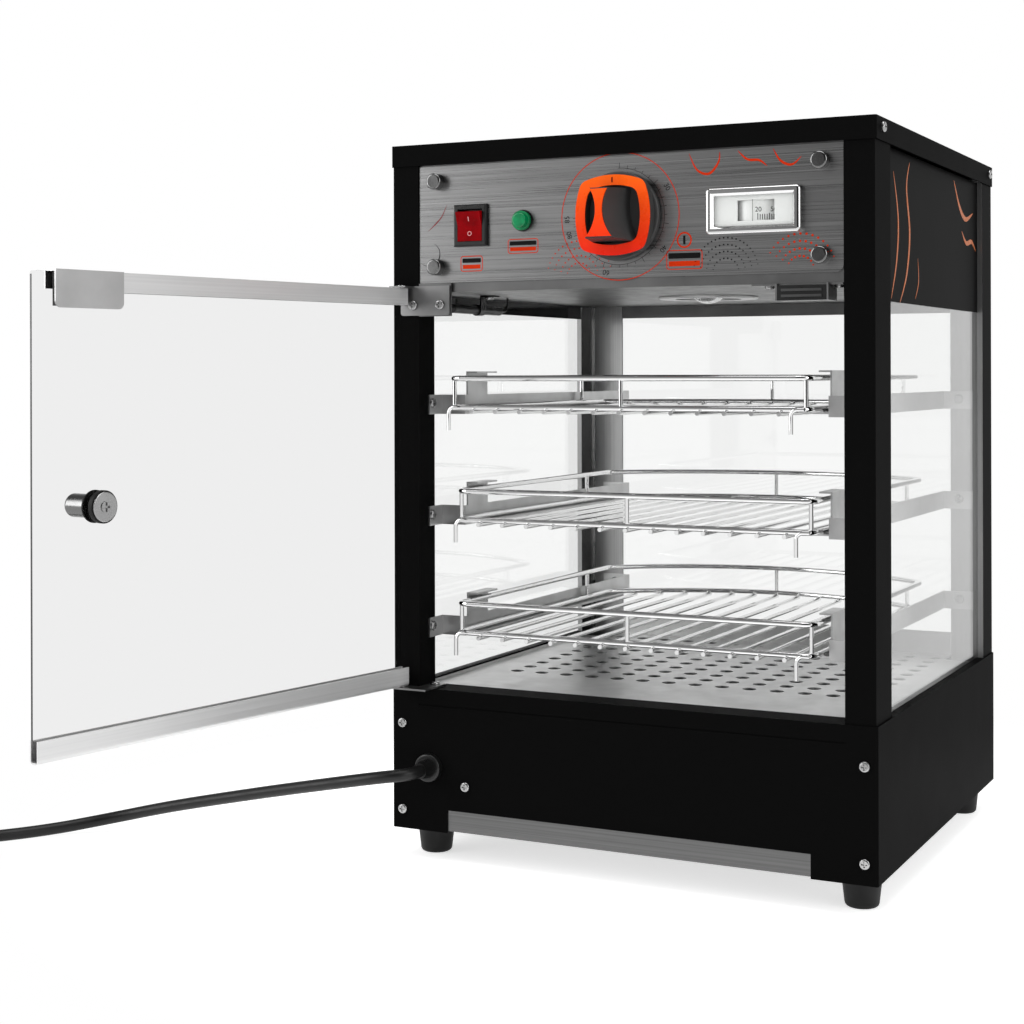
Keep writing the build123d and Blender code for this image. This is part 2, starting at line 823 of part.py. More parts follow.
def make_switch_rocker():
    """A shallow V-shaped rocker on its pin, resting with its lower half pressed in."""
    pivot = rocker_pivot()
    half = rocker_height / 2
    tip = rocker_reach + half * math.tan(math.radians(rocker_tilt))
    hub = rocker_hub
    shoulder = 0.75 * hub
    with BuildPart() as builder:
        with BuildSketch(Plane.YZ):
            with BuildLine():
                Polyline((-tip, half), (-rocker_reach, 0), (-tip, -half), (-shoulder, -half), (hub, -2 * hub),
                         (hub, 2 * hub), (-shoulder, half), close=True)
            make_face()
        extrude(amount=rocker_width / 2, both=True)
    pin_length = 2 * (switch_housing_half_x - pin_end_wall - 0.2)
    rocker = builder.part + Rot(0, 90, 0) * Cylinder(rocker_pin_diameter / 2, pin_length)
    return Pos(switch_x, pivot, switch_z) * Rot(rocker_tilt, 0, 0) * rocker


def make_pilot():
    """The pilot lamp: the holder with its barrel and nut, and the stepped lens."""
    facing = Plane(origin=(pilot_x, panel_front, control_z), z_dir=(0, -1, 0))
    up = (Align.CENTER, Align.CENTER, Align.MIN)
    down = (Align.CENTER, Align.CENTER, Align.MAX)
    rim = Cylinder(pilot_lens_diameter / 2 + pilot_rim_reach, pilot_rim_height, align=up)
    barrel = Cylinder(pilot_barrel_diameter / 2, pilot_barrel_length, align=down)
    nut = Cylinder(pilot_barrel_diameter / 2 + pilot_nut_reach, pilot_nut_height, align=down)
    holder = facing * (rim + barrel + Pos(0, 0, -thin_sheet) * nut)
    half = pilot_lens_height / 2
    foot = Cylinder(pilot_lens_diameter / 2, half, align=up)
    dome = Pos(0, 0, half) * Cylinder(pilot_lens_diameter / 2 - pilot_dome_step, half, align=up)
    lens = foot + dome
    lens = fillet(lens.edges().group_by(Axis.Z)[-1], pilot_dome_edge)
    return holder, facing * Pos(0, 0, pilot_rim_height) * lens


def knob_outline(half, corner):
    """A square with bowed sides, as a face."""
    c = corner
    h = half
    with BuildSketch() as sketch:
        with BuildLine():
            ThreePointArc((-c, -c), (0, -h), (c, -c))
            ThreePointArc((c, -c), (h, 0), (c, c))
            ThreePointArc((c, c), (0, h), (-c, c))
            ThreePointArc((-c, c), (-h, 0), (-c, -c))
        make_face()
        fillet(sketch.vertices(), knob_corner_round)
    return sketch.sketch


def grip_outline(end, waist, length):
    """The hourglass plan of the grip, wider at its lower end."""
    top = end * grip_top_narrowing
    with BuildSketch() as sketch:
        with BuildLine():
            Line((-end, -length), (end, -length))
            ThreePointArc((end, -length), (waist, 0), (top, length))
            Line((top, length), (-top, length))
            ThreePointArc((-top, length), (-waist, 0), (-end, -length))
        make_face()
    return sketch.sketch


def make_knob():
    """The thermostat knob: a black body with a recess and a tall grip, and its coloured inlays."""
    facing = Plane(origin=(0, panel_front - knob_clearance, control_z), x_dir=(1, 0, 0), z_dir=(0, -1, 0))
    up = (Align.CENTER, Align.CENTER, Align.MIN)
    skirt = Cylinder(knob_skirt_diameter / 2, knob_skirt_height, align=up)
    skirt = fillet(skirt.edges().group_by(Axis.Z)[-1], knob_skirt_edge)
    outline = knob_outline(knob_face_half, knob_corner_half)
    block = Pos(0, 0, knob_skirt_height) * extrude(outline, amount=knob_rim_height - knob_skirt_height)
    inner = knob_outline(knob_face_half - knob_rim_width, knob_corner_half - knob_rim_width + 1.5)
    pocket = Pos(0, 0, knob_rim_height - knob_recess_depth) * extrude(inner, amount=knob_recess_depth + 1)
    floor_z = knob_rim_height - knob_recess_depth - 0.5
    foot_plan = grip_outline(grip_end_half + grip_spread_end, grip_waist_half + grip_spread_waist,
                             grip_half_length + 0.5)
    low = Pos(0, 0, floor_z) * foot_plan
    high = Pos(0, 0, grip_height) * grip_outline(grip_end_half, grip_waist_half, grip_half_length - 1.0)
    grip = loft([low.face(), high.face()], ruled=True)
    bore = Cylinder(shaft_diameter / 2, grip_height - shaft_cover, align=up)
    body = facing * (skirt + block - pocket + grip - bore)
    ring = Pos(0, 0, knob_rim_height) * (extrude(outline, amount=knob_inlay) - extrude(inner, amount=knob_inlay))
    margin = grip_cap_margin
    cap_plan = grip_outline(grip_end_half - margin, grip_waist_half - 0.75 * margin, grip_half_length - 1 - margin)
    cap = Pos(0, 0, grip_height) * extrude(cap_plan, amount=knob_inlay)
    return body, [facing * ring, facing * cap]


def make_thermostat():
    """The thermostat behind the panel and its turning shaft."""
    half = thermostat_size / 2
    front = panel_back + thermostat_gap
    body = box(-half, half, front, front + thermostat_depth, control_z - half, control_z + half)
    facing = Plane(origin=(0, panel_back, control_z), z_dir=(0, 1, 0))
    up = (Align.CENTER, Align.CENTER, Align.MIN)
    bush = facing * Cylinder(shaft_diameter / 2 + thermostat_bush_wall, thermostat_gap, align=up)
    shaft_start = panel_front - knob_clearance - (grip_height - shaft_cover)
    hole_end = panel_back + shaft_socket
    hole = bar((0, panel_front, control_z), (0, hole_end, control_z), shaft_diameter + 2 * pin_play)
    shaft = bar((0, shaft_start, control_z), (0, hole_end - 1.0, control_z), shaft_diameter)
    return body + bush - hole, shaft


def drum_axis_y():
    """How far back the drum's axis stands."""
    return panel_front - bezel_depth + pane_inset + pane_thickness + drum_gap + drum_diameter / 2


def window_funnel(x, z, front):
    """The cut that slopes the window's edge in from the case's front."""
    facing = Plane(origin=(x, front, z), x_dir=(1, 0, 0), z_dir=(0, -1, 0))
    mouth = facing * Rectangle(window_width + 2 * window_bevel, window_height + 2 * window_bevel)
    throat = facing * Pos(0, 0, -window_bevel) * Rectangle(window_width, window_height)
    return loft([mouth.face(), throat.face()], ruled=True)


def make_thermometer():
    """The drum thermometer: a case with a sloped window, the drum on its pin and the pane."""
    x, z = thermometer_x, control_z
    front = panel_front - bezel_depth
    back = panel_front + housing_depth
    half_w = thermometer_width / 2
    half_h = thermometer_height / 2
    bezel = box(x - half_w, x + half_w, front, panel_front, z - half_h, z + half_h)
    bezel = fillet(bezel.edges().filter_by(Axis.Y), bezel_corner)
    bezel = fillet(bezel.edges().group_by(Axis.Y)[0], bezel_edge)
    rear_w = half_w - housing_inset_x
    rear_h = half_h - housing_inset_z
    housing = box(x - rear_w, x + rear_w, panel_front, back, z - rear_h, z + rear_h)
    room_w = rear_w - housing_wall
    room_h = rear_h - housing_wall
    pane_front = front + pane_inset
    pane_back = pane_front + pane_thickness
    room = box(x - room_w, x + room_w, pane_back, back - housing_wall, z - room_h, z + room_h)
    window = box(x - window_width / 2, x + window_width / 2, front, pane_back,
                 z - window_height / 2, z + window_height / 2)
    pane_w = window_width / 2 + pane_lap_x
    pane_h = window_height / 2 + pane_lap_z
    pane = box(x - pane_w, x + pane_w, pane_front, pane_back, z - pane_h, z + pane_h)
    axis_y = drum_axis_y()
    pin_half = rear_h - pin_end_wall
    pin_hole = Pos(x, axis_y, z) * Cylinder(drum_pin_diameter / 2 + pin_play, 2 * pin_half)
    case = bezel + housing - room - window - window_funnel(x, z, front) - pane - pin_hole
    drum = Cylinder(drum_diameter / 2, drum_height) - Cylinder(drum_diameter / 2 - drum_wall, drum_height)
    web = Cylinder(drum_diameter / 2 - drum_wall / 2, drum_wall)
    pin = Cylinder(drum_pin_diameter / 2, 2 * (pin_half - 0.2))
    drum = Pos(x, axis_y, z) * (drum + web + pin)
    return case, drum, pane


def sensor_x():
    """How far left of the middle the sensor hangs."""
    return half_width - sensor_margin


def sensor_rear_y():
    """The rear end of the sensor bulb."""
    return -half_depth + sensor_front + sensor_length


def clip_seat():
    """The screw of the sensor's clip."""
    y = -half_depth + sensor_front + sensor_length * clip_place
    return [((-sensor_x() + clip_screw_offset, y, ceiling_z - thin_sheet), (0, 0, -1))]


def make_sensor():
    """The thermostat's sensor bulb with the start of its capillary, and the clip that holds it."""
    x = -sensor_x()
    z = ceiling_z - sensor_drop
    y0 = -half_depth + sensor_front
    y1 = sensor_rear_y()
    bulb = bar((x, y0, z), (x, y1, z), sensor_diameter)
    bulb = fillet(bulb.edges().filter_by(GeomType.CIRCLE), sensor_diameter * 0.4)
    bend = y1 + capillary_run
    points = [(x, y1 - 2.0, z), (x, bend, z), (x, bend, ceiling_z + capillary_rise)]
    path = FilletPolyline(*points, radius=capillary_bend)
    capillary = swept_tube(Wire(path.edges()), capillary_diameter)
    clip_y = clip_seat()[0][0][1]
    radius = sensor_diameter / 2
    low_y = clip_y - clip_width / 2
    high_y = clip_y + clip_width / 2
    loop = Pos(x, clip_y, z) * Rot(90, 0, 0) * Cylinder(radius + thin_sheet, clip_width)
    loop = loop - Pos(x, clip_y, z) * Rot(90, 0, 0) * Cylinder(radius, 2 * clip_width)
    stem = box(x + radius, x + radius + thin_sheet, low_y, high_y, z, ceiling_z)
    tongue = box(x + radius, x + radius + clip_tongue, low_y, high_y, ceiling_z - thin_sheet, ceiling_z)
    clip = loop + stem + tongue - holes_for(clip_seat())
    return bulb + capillary, clip


def make_lamp():
    """The lamp ring under the ceiling, the holder over it and the bulb that hangs in it."""
    down = (Align.CENTER, Align.CENTER, Align.MAX)
    up = (Align.CENTER, Align.CENTER, Align.MIN)
    ring = Cylinder(lamp_ring_diameter / 2, lamp_ring_thickness, align=down)
    ring = fillet(ring.edges().group_by(Axis.Z)[0], lamp_ring_edge)
    collar = Cylinder(lamp_ring_bore / 2, lamp_collar_height, align=up)
    ring = ring + collar - Cylinder(lamp_ring_bore / 2 - thin_sheet, 4 * lamp_collar_height)
    ring = Pos(0, 0, ceiling_z) * ring
    top = ceiling_z + sheet
    strap_z = top + lamp_strap_height
    half_x = lamp_strap_half
    half_y = lamp_strap_width / 2
    strap = box(-half_x, half_x, -half_y, half_y, strap_z, strap_z + thin_sheet)
    leg = box(half_x - thin_sheet, half_x, -half_y, half_y, top, strap_z)
    foot = box(half_x, half_x + lamp_foot_length, -half_y, half_y, top, top + thin_sheet)
    socket = Pos(0, 0, strap_z) * Cylinder(socket_diameter / 2, socket_length, align=down)
    bore = Pos(0, 0, strap_z - socket_roof) * Cylinder(socket_bore / 2, socket_length, align=down)
    holder = strap + leg + mirrored(leg) + foot + mirrored(foot) + socket - bore
    cap = Pos(0, 0, strap_z - socket_roof) * Cylinder(socket_bore / 2, socket_length - socket_roof, align=down)
    ball_z = strap_z - socket_length - bulb_diameter / 2 + bulb_sink
    ball = Pos(0, 0, ball_z) * Sphere(bulb_diameter / 2)
    return ring, holder, cap + ball


def make_catch():
    """The magnetic catch: a bracket with two ears, the black body and its two steel poles."""
    middle = catch_middle()
    half = catch_body_width / 2
    front = door_inner + strike_pad + sheet + seat_gap
    back = front + catch_body_depth
    top = ceiling_z - sheet
    bottom = ceiling_z - catch_body_height
    ear_left = middle - half - catch_left_ear
    ear_right = middle + half + catch_right_ear
    ears = box(ear_left, ear_right, front + 4.0, back, top, ceiling_z)
    left = box(middle - half - sheet, middle - half, front + 1.0, back, bottom, ceiling_z)
    right = box(middle + half, middle + half + sheet, front + 1.0, back, bottom, ceiling_z)
    bracket = ears + left + right - holes_for(catch_seats())
    body = box(middle - half, middle + half, front + pole_proud, back - 1.0, bottom, top)
    pole_z = [bottom + 2.2, top - 2.2 - pole_height]
    slots = []
    poles = []
    for z in pole_z:
        pole = box(middle - half + 3, middle + half - 3, front, back - 6.0, z, z + pole_height)
        slots.append(pole)
        poles.append(pole)
    return bracket, body - slots, poles


def arc_through(a, b, c):
    """An arc edge through three points."""
    return ThreePointArc(a, b, c).edge()


def rack_loop(z):
    """One closed wire ring of a rack: straight front and sides and a bowed back."""
    half = rack_half
    corner = rack_corner
    bow = rack_back_bow
    radius = (half * half + bow * bow) / (2 * bow)
    middle_y = rack_depth - radius
    small = rack_back_corner
    small_x = half - small
    small_y = middle_y + math.sqrt((radius - small) ** 2 - small_x ** 2)
    slope = math.atan2(small_y - middle_y, small_x)
    join = (small_x + small * math.cos(slope), small_y + small * math.sin(slope))
    knee = (small_x + small * math.cos(slope / 2), small_y + small * math.sin(slope / 2))
    near = corner * (1 - math.sqrt(0.5))
    edges = [
        Line((-half + corner, 0, z), (half - corner, 0, z)).edge(),
        arc_through((half - corner, 0, z), (half - near, near, z), (half, corner, z)),
        Line((half, corner, z), (half, small_y, z)).edge(),
        arc_through((half, small_y, z), (knee[0], knee[1], z), (join[0], join[1], z)),
        arc_through((join[0], join[1], z), (0, rack_depth, z), (-join[0], join[1], z)),
        arc_through((-join[0], join[1], z), (-knee[0], knee[1], z), (-half, small_y, z)),
        Line((-half, small_y, z), (-half, corner, z)).edge(),
        arc_through((-half, corner, z), (-half + near, near, z), (-half + corner, 0, z)),
    ]
    return swept_tube(Wire(edges), rack_wire), middle_y, radius


def make_rack():
    """One wire rack, its front wire at y = 0 and its bottom wire's middle at z = 0."""
    lower, middle_y, radius = rack_loop(0)
    upper = rack_loop(rail_pair_height)[0]
    pieces = [upper]
    rod_z = -(rack_wire + rod_wire) / 2 + weld_sink
    count = int((rack_half - 12.0) / rod_pitch)
    for index in range(-count, count + 1):
        x = index * rod_pitch
        back = middle_y + math.sqrt(radius ** 2 - x ** 2) + rod_overhang
        pieces.append(bar((x, -rod_stub, rod_z), (x, back, rod_z), rod_wire))
    post_y = rack_depth - rack_post_back
    posts = [(0, 0), (0, rack_depth), (rack_half, post_y), (-rack_half, post_y)]
    posts += [(rack_half - rack_corner * 0.3, rack_corner * 0.3), (-rack_half + rack_corner * 0.3, rack_corner * 0.3)]
    for x, y in posts:
        pieces.append(bar((x, y, 0), (x, y, rail_pair_height), rod_wire))
    hook_y = -(rack_wire + rod_wire) / 2 + weld_sink
    for start, end in ((-rack_half + hook_start, -rack_half + 0.5), (rack_half - 2, rack_half - hook_inset)):
        points = [(start, hook_y, 0), (end, hook_y, 0), (end, hook_y, -hook_drop)]
        path = FilletPolyline(*points, radius=hook_bend)
        pieces.append(swept_tube(Wire(path.edges()), rod_wire))
    return lower + pieces


def make_rack_rails():
    """The three right-hand rails: ear, front plate, web, ledge, tab with its lip, and rear ear."""
    rails = []
    back = rear_flange_front
    for height in rack_heights():
        low = height - rack_wire / 2 - rail_below
        high = low + rail_height
        ledge_top = height - rack_wire / 2 - seat_gap
        ear = box(post_x - sheet, post_x, rail_front_y - ear_length, rail_front_y, low, high)
        plate = box(rail_x, post_x, rail_front_y, rail_front_y + sheet, low, high)
        web = box(rail_x, rail_x + sheet, rail_front_y, back, low, high)
        ledge_back = back - ledge_short
        ledge = box(rail_x - rail_ledge, rail_x + sheet, rail_front_y, ledge_back, ledge_top - sheet, ledge_top)
        tab_start = rail_front_y + tab_back
        tab_top = height + tab_rise
        tab = box(rail_x, rail_x + sheet, tab_start, tab_start + tab_length, low, tab_top)
        lip = box(rail_x + sheet - tab_lip, rail_x + sheet, tab_start, tab_start + tab_length, tab_top - sheet, tab_top)
        rear = box(rail_x, rail_x + rear_ear_length, back - sheet, back, low, high)
        rails.append(ear + plate + web + ledge + tab + lip + rear - holes_for(rail_seats(1)))
    return rails


def opened(solid):
    """Turn a door piece from closed to its rest position, about the hinge axis."""
    return Pos(hinge_x, hinge_y, 0) * Rot(0, 0, -door_open) * Pos(-hinge_x, -hinge_y, 0) * solid


def make_door_glass():
    """The closed door's pane with the knob's hole."""
    start = hinge_x + channel_end + glass_start
    pane = box(start, hinge_x + door_width, door_outer, door_inner, door_bottom + channel_wall, door_channel_top)
    pane = fillet(pane.edges().filter_by(Axis.Y), glass_corner)
    facing = Plane(origin=(knob_on_door(), door_inner, knob_on_door_z()), z_dir=(0, 1, 0))
    return pane - facing * Cylinder(screw_shank / 2, 20)


def knob_on_door():
    """The door knob's place on the closed door."""
    return hinge_x + door_width - door_knob_margin


def knob_on_door_z():
    """The height of the door knob."""
    return door_top - door_knob_drop


def make_door_channels():
    """The U-channels along the door's top and bottom edges."""
    start = hinge_x - channel_end
    outer = door_outer - channel_wall
    inner = door_inner + channel_wall
    top_end = hinge_x + door_width - strike_margin - strike_width - seat_gap
    top = box(start, top_end, outer, inner, door_top - top_channel_height, door_top)
    top = top - box(start, top_end, door_outer, door_inner, door_top - top_channel_height, door_channel_top)
    end = hinge_x + door_width
    bottom = box(start, end, outer, inner, door_bottom, door_bottom + bottom_channel_height)
    bottom = fillet(bottom.edges().filter_by(Axis.X).group_by(Axis.Z)[0], bottom_channel_edge)
    groove_z = door_bottom + channel_wall
    bottom = bottom - box(start, end, door_outer, door_inner, groove_z, door_bottom + bottom_channel_height)
    pin = Pos(hinge_x, hinge_y, 0) * Cylinder(hinge_pin_diameter / 2, 2000)
    return top - pin, bottom - pin


def make_strike_plate():
    """The steel plate that the catch holds, folded over the door's top edge."""
    x1 = hinge_x + door_width - strike_margin
    x0 = x1 - strike_width
    leg_y = door_inner + strike_pad
    leg = box(x0, x1, leg_y, leg_y + sheet, door_top - strike_height, door_top)
    leg = fillet(leg.edges().filter_by(Axis.Y).group_by(Axis.Z)[0], strike_corner)
    bridge = box(x0, x1, door_outer - sheet, leg_y + sheet, door_channel_top, door_channel_top + sheet)
    outer = box(x0, x1, door_outer - sheet, door_outer, door_channel_top - strike_outer_leg, door_channel_top)
    return leg + bridge + outer


def make_door_knob():
    """The outer knob, the inner disc with its screw, and the pads between metal and glass."""
    place = Plane(origin=(knob_on_door(), door_outer, knob_on_door_z()), z_dir=(0, -1, 0))
    up = (Align.CENTER, Align.CENTER, Align.MIN)
    knob = Cylinder(door_knob_diameter / 2, door_knob_length, align=up)
    knob = fillet(knob.edges().group_by(Axis.Z)[-1], door_knob_edge)
    knob = knob - Cylinder(screw_shank / 2, door_knob_bore, align=up)
    knob = place * Pos(0, 0, outer_washer_thickness) * knob
    outer_pad = Cylinder(door_knob_washer / 2, outer_washer_thickness, align=up)
    outer_pad = place * (outer_pad - Cylinder(screw_shank / 2, 10))
    inside = Plane(origin=(knob_on_door(), door_inner, knob_on_door_z()), z_dir=(0, 1, 0))
    inner_pad = Cylinder(door_knob_washer / 2, inner_washer_thickness, align=up)
    inner_pad = inside * (inner_pad - Cylinder(screw_shank / 2, 10))
    disc = Cylinder(door_disc_diameter / 2, disc_thickness, align=up)
    disc = fillet(disc.edges().group_by(Axis.Z)[-1], 0.5)
    shank_length = inner_washer_thickness + door_glass_thickness + outer_washer_thickness + door_screw_grip
    shank = Cylinder(screw_shank / 2, shank_length, align=(Align.CENTER, Align.CENTER, Align.MAX))
    head = Cylinder(screw_head_diameter / 2, disc_thickness + 0.6, align=up)
    slot = Box(disc_cross_length, disc_cross_width, cross_depth)
    recess = Pos(0, 0, disc_thickness + 0.6 - cross_depth / 2) * (slot + Rot(0, 0, 90) * slot)
    screw = inside * Pos(0, 0, inner_washer_thickness) * (disc + shank + head - recess)
    x1 = hinge_x + door_width - strike_margin - strike_pad_margin
    x0 = x1 - strike_width + 2 * strike_pad_margin
    pad_bottom = door_top - strike_height + strike_pad_margin
    strike_pad_solid = box(x0, x1, door_inner, door_inner + strike_pad, pad_bottom, door_channel_top)
    return knob, screw, [outer_pad, inner_pad, strike_pad_solid]


def make_hinge_plates():
    """The fixed hinge plates: one on the post and ceiling tab, one on the base's front flange."""
    back = -inner_y
    top_z = hinge_ear_bottom + sheet
    left = hinge_x - hinge_leaf_left
    leaf = box(left, hinge_x + hinge_leaf_right, back - sheet, back, top_z - hinge_leaf_height - sheet, top_z)
    leaf = fillet(leaf.edges().filter_by(Axis.Y).group_by(Axis.Z)[0], hinge_leaf_corner)
    reach = hinge_y - hinge_ear_reach
    ear = box(hinge_x - hinge_ear_half, hinge_x + hinge_ear_half, reach, back, hinge_ear_bottom, top_z)
    hole = Pos(hinge_x, hinge_y, 0) * Cylinder(hinge_pin_diameter / 2 + pin_play, 2000)
    top = leaf + ear - hole - holes_for(top_hinge_seats())
    right = hinge_x + bottom_hinge_right
    front_y = -half_depth - seat_gap
    nose = box(hinge_x - hinge_ear_half, right, reach, front_y, base_top, base_top + sheet)
    tail_left = -post_x + 2 * seat_gap
    tail = box(tail_left, right, reach, -half_depth + bottom_hinge_back, base_top, base_top + sheet)
    bottom = nose + tail - hole - holes_for(bottom_hinge_seats())
    return top, bottom


def make_hinge_pins():
    """The two pins that the door turns on."""
    up_z = door_top - pin_reach
    head_z = hinge_ear_bottom + sheet + pin_head_stand
    top = bar((hinge_x, hinge_y, up_z), (hinge_x, hinge_y, head_z), hinge_pin_diameter)
    low_z = base_top + pin_foot_gap
    bottom = bar((hinge_x, hinge_y, low_z), (hinge_x, hinge_y, door_bottom + pin_reach), hinge_pin_diameter)
    return top, bottom


def make_feet():
    """Four tapered rubber feet and the screws inside them."""
    solid = Solid.make_cone(foot_bottom_diameter / 2, foot_top_diameter / 2, foot_height)
    foot = fillet(solid.edges().group_by(Axis.Z)[0], foot_edge)
    up = (Align.CENTER, Align.CENTER, Align.MIN)
    foot = foot - Cylinder(foot_recess_diameter / 2, foot_recess_depth, align=up)
    foot = foot - Cylinder(screw_shank / 2, 60)
    length = foot_height - foot_recess_depth + sheet + thin_sheet + 3.0
    screw = pan_screw(length)
    feet = [Pos(x, y, 0) * foot for x, y in foot_places()]
    screws = [Plane(origin=(x, y, foot_recess_depth), z_dir=(0, 0, -1)) * screw for x, y in foot_places()]
    return feet, screws


def make_element():
    """The tubular heating element under the floor plate and the brackets that hang it."""
    reach_x = half_width - element_side_margin
    reach_y = half_depth - element_end_margin
    z = element_z
    loop_y = -reach_y + element_loop_step
    points = [(-reach_x, -reach_y, z), (-reach_x, reach_y, z), (0, reach_y, z), (0, loop_y, z),
              (reach_x, loop_y, z), (reach_x, reach_y, z)]
    path = FilletPolyline(*points, radius=element_bend)
    tube = swept_tube(Wire(path.edges()), element_diameter)
    brackets = []
    radius = element_diameter / 2
    under = floor_top - thin_sheet
    half = element_bracket_width / 2
    for x in (-reach_x, 0.0, reach_x):
        y = element_bracket_y
        clip = Pos(x, y, z) * Rot(90, 0, 0) * Cylinder(radius + thin_sheet, element_bracket_width)
        stem = box(x - half, x + half, y - half, y + half, z, under)
        core = Pos(x, y, z) * Rot(90, 0, 0) * Cylinder(radius, 30)
        slot = box(x - half, x + half, y - half + thin_sheet, y + half - thin_sheet, z - 10, under - thin_sheet)
        foot = box(x - half, x + half, y - half, y + half, under - thin_sheet, under)
        brackets.append(clip + stem - core - slot + foot)
    return tube, brackets


def make_terminal_block():
    """The terminal block on the bottom plate, with a well for each of three wires."""
    z0 = post_bottom
    z1 = z0 + terminal_height
    x = -half_width + terminal_margin_x
    y = -half_depth + terminal_margin_y
    half_x = terminal_length / 2
    half_y = terminal_width / 2
    block = box(x - half_x, x + half_x, y - half_y, y + half_y, z0, z1)
    drill = Cylinder(terminal_well_diameter / 2, 2 * terminal_well_depth)
    wells = [Pos(x + step * terminal_pitch, y, z1) * drill for step in (-1, 0, 1)]
    return block - wells


def cord_route():
    """The free stretch of the cord from the gland to the coil. Each step is given as left of the gland,
    in front of the cabinet, and up from the floor."""
    low = cord_diameter / 2 + cord_floor_gap
    steps = [
        (0.0, gland_length, gland_z),
        (0.0, gland_length + 13.0, gland_z),
        (16.8, 36.5, 65.3),
        (53.8, 36.5, 57.8),
        (105.8, 30.5, 46.2),
        (159.8, 26.5, 33.8),
        (211.8, 24.5, 21.6),
        (258.8, 30.5, 9.6),
        (289.8, 60.5, low),
        (317.8, 101.5, low),
        (353.8, 135.5, low),
    ]
    return [(-gland_x - left, -half_depth - forward, height) for left, forward, height in steps]


def cord_radii(points):
    """The bend radius at each inner point: as large as its two runs allow."""
    radii = []
    for before, here, after in zip(points, points[1:], points[2:]):
        first = Vector(*here) - Vector(*before)
        second = Vector(*after) - Vector(*here)
        turn = first.get_angle(second)
        run = min(first.length, second.length)
        radii.append(0.45 * run / math.tan(math.radians(turn / 2)))
    return radii


def make_cord():
    """The free stretch of the cord as one tube."""
    points = cord_route()
    radii = cord_radii(points)
    print("cord radii:", [round(radius, 1) for radius in radii])
    path = Wire(FilletPolyline(*points, radius=radii).edges())
    tube = swept_tube(path, cord_diameter)
    section = math.pi * cord_diameter ** 2 / 4
    print("cord length:", round(path.length, 1), "volume over section times length:",
          round(tube.volume / (section * path.length), 5))
    return tube


def half_turn(start, heading, radius, side):
    """A level half turn: its edge, where it ends and the heading there."""
    across = Vector(-heading.Y, heading.X, 0) * side
    middle = start + across * radius
    edge = arc_through(start, middle + heading * radius, start + across * 2 * radius)
    return edge, start + across * 2 * radius, heading * -1


def climbing_half_turn(start, heading, radius, side, rise):
    """A half turn that climbs, as two arcs that meet without a kink halfway up."""
    across = Vector(-heading.Y, heading.X, 0) * side
    middle = start + across * radius
    top = start + across * 2 * radius + Vector(0, 0, rise)
    wide = math.sqrt(radius ** 2 + (rise / 2) ** 2)
    summit = middle + heading * wide + Vector(0, 0, rise / 2)
    first = tangent_arc(start, heading, summit)
    second = tangent_arc(top, heading, summit)
    return [first, second], top, heading * -1


def tangent_arc(start, heading, end):
    """The arc that leaves a point in a given direction and ends at another point."""
    chord = end - start
    along = heading.normalized()
    normal = (chord - along * chord.dot(along)).normalized()
    radius = chord.dot(chord) / (2 * chord.dot(normal))
    centre = start + normal * radius
    middle = centre + ((start - centre) + (end - centre)).normalized() * radius
    return arc_through(start, middle, end)


def coil_path():
    """The put-away length: inwards on the floor, a climbing half turn, then outwards on top."""
    points = cord_route()
    start = Vector(*points[-1])
    heading = (start - Vector(*points[-2])).normalized()
    step = (cord_diameter + coil_gap) / 2
    side = 1
    place = start + heading * cord_diameter
    edges = [Line(start, place).edge()]
    for index in range(coil_turns_in, 0, -1):
        edge, place, heading = half_turn(place, heading, coil_inner_radius + index * step, side)
        edges.append(edge)
    climb, place, heading = climbing_half_turn(place, heading, coil_inner_radius, side, 2 * step)
    edges += climb
    for index in range(1, coil_turns_out + 1):
        radius = coil_inner_radius + index * step
        if index == coil_turns_out:
            radius += coil_last_widening
        edge, place, heading = half_turn(place, heading, radius, side)
        edges.append(edge)
    end = place + heading * cord_diameter
    edges.append(Line(place, end).edge())
    return Wire(edges), end, heading


def least_gap(path):
    """The least distance between turns of the coil, less its diameter, on sampled points."""
    count = 1500
    samples = [path.position_at(index / count) for index in range(count + 1)]
    spacing = path.length / count
    apart = int(cord_diameter * 3 / spacing)
    least = 1e9
    for i in range(0, count + 1, 2):
        for j in range(i + apart, count + 1, 2):
            least = min(least, (samples[i] - samples[j]).length)
    return least - cord_diameter


def make_coil():
    """The put-away length of the cord, with where it ends and the heading there."""
    path, end, heading = coil_path()
    tube = swept_tube(path, cord_diameter)
    section = math.pi * cord_diameter ** 2 / 4
    print("coil length:", round(path.length, 1), "least gap to itself:", round(least_gap(path), 2),
          "volume over section times length:", round(tube.volume / (section * path.length), 5))
    return tube, end, heading


def make_plug(end, heading):
    """A moulded three-pin plug lying on the floor at the cord's end."""
    level = end.Z
    place = Plane(origin=end, x_dir=(-heading.Y, heading.X, 0), z_dir=heading)
    up = (Align.CENTER, Align.CENTER, Align.MIN)
    sleeve = Cylinder(sleeve_diameter / 2, sleeve_length, align=up)
    thickness = 2 * (level - cord_floor_gap)
    body = Pos(0, 0, sleeve_length) * Box(plug_width, thickness, plug_length, align=up)
    body = fillet(body.edges().filter_by(Axis.Z), plug_corner)
    front = sleeve_length + plug_length
    blades = [Pos(s * blade_spacing / 2, -3.0, front) * Box(blade_thickness, blade_width, blade_length, align=up)
              for s in (-1, 1)]
    earth = Pos(0, earth_pin_offset, front) * Cylinder(earth_pin_diameter / 2, earth_pin_length, align=up)
    return place * (sleeve + body + blades + earth)


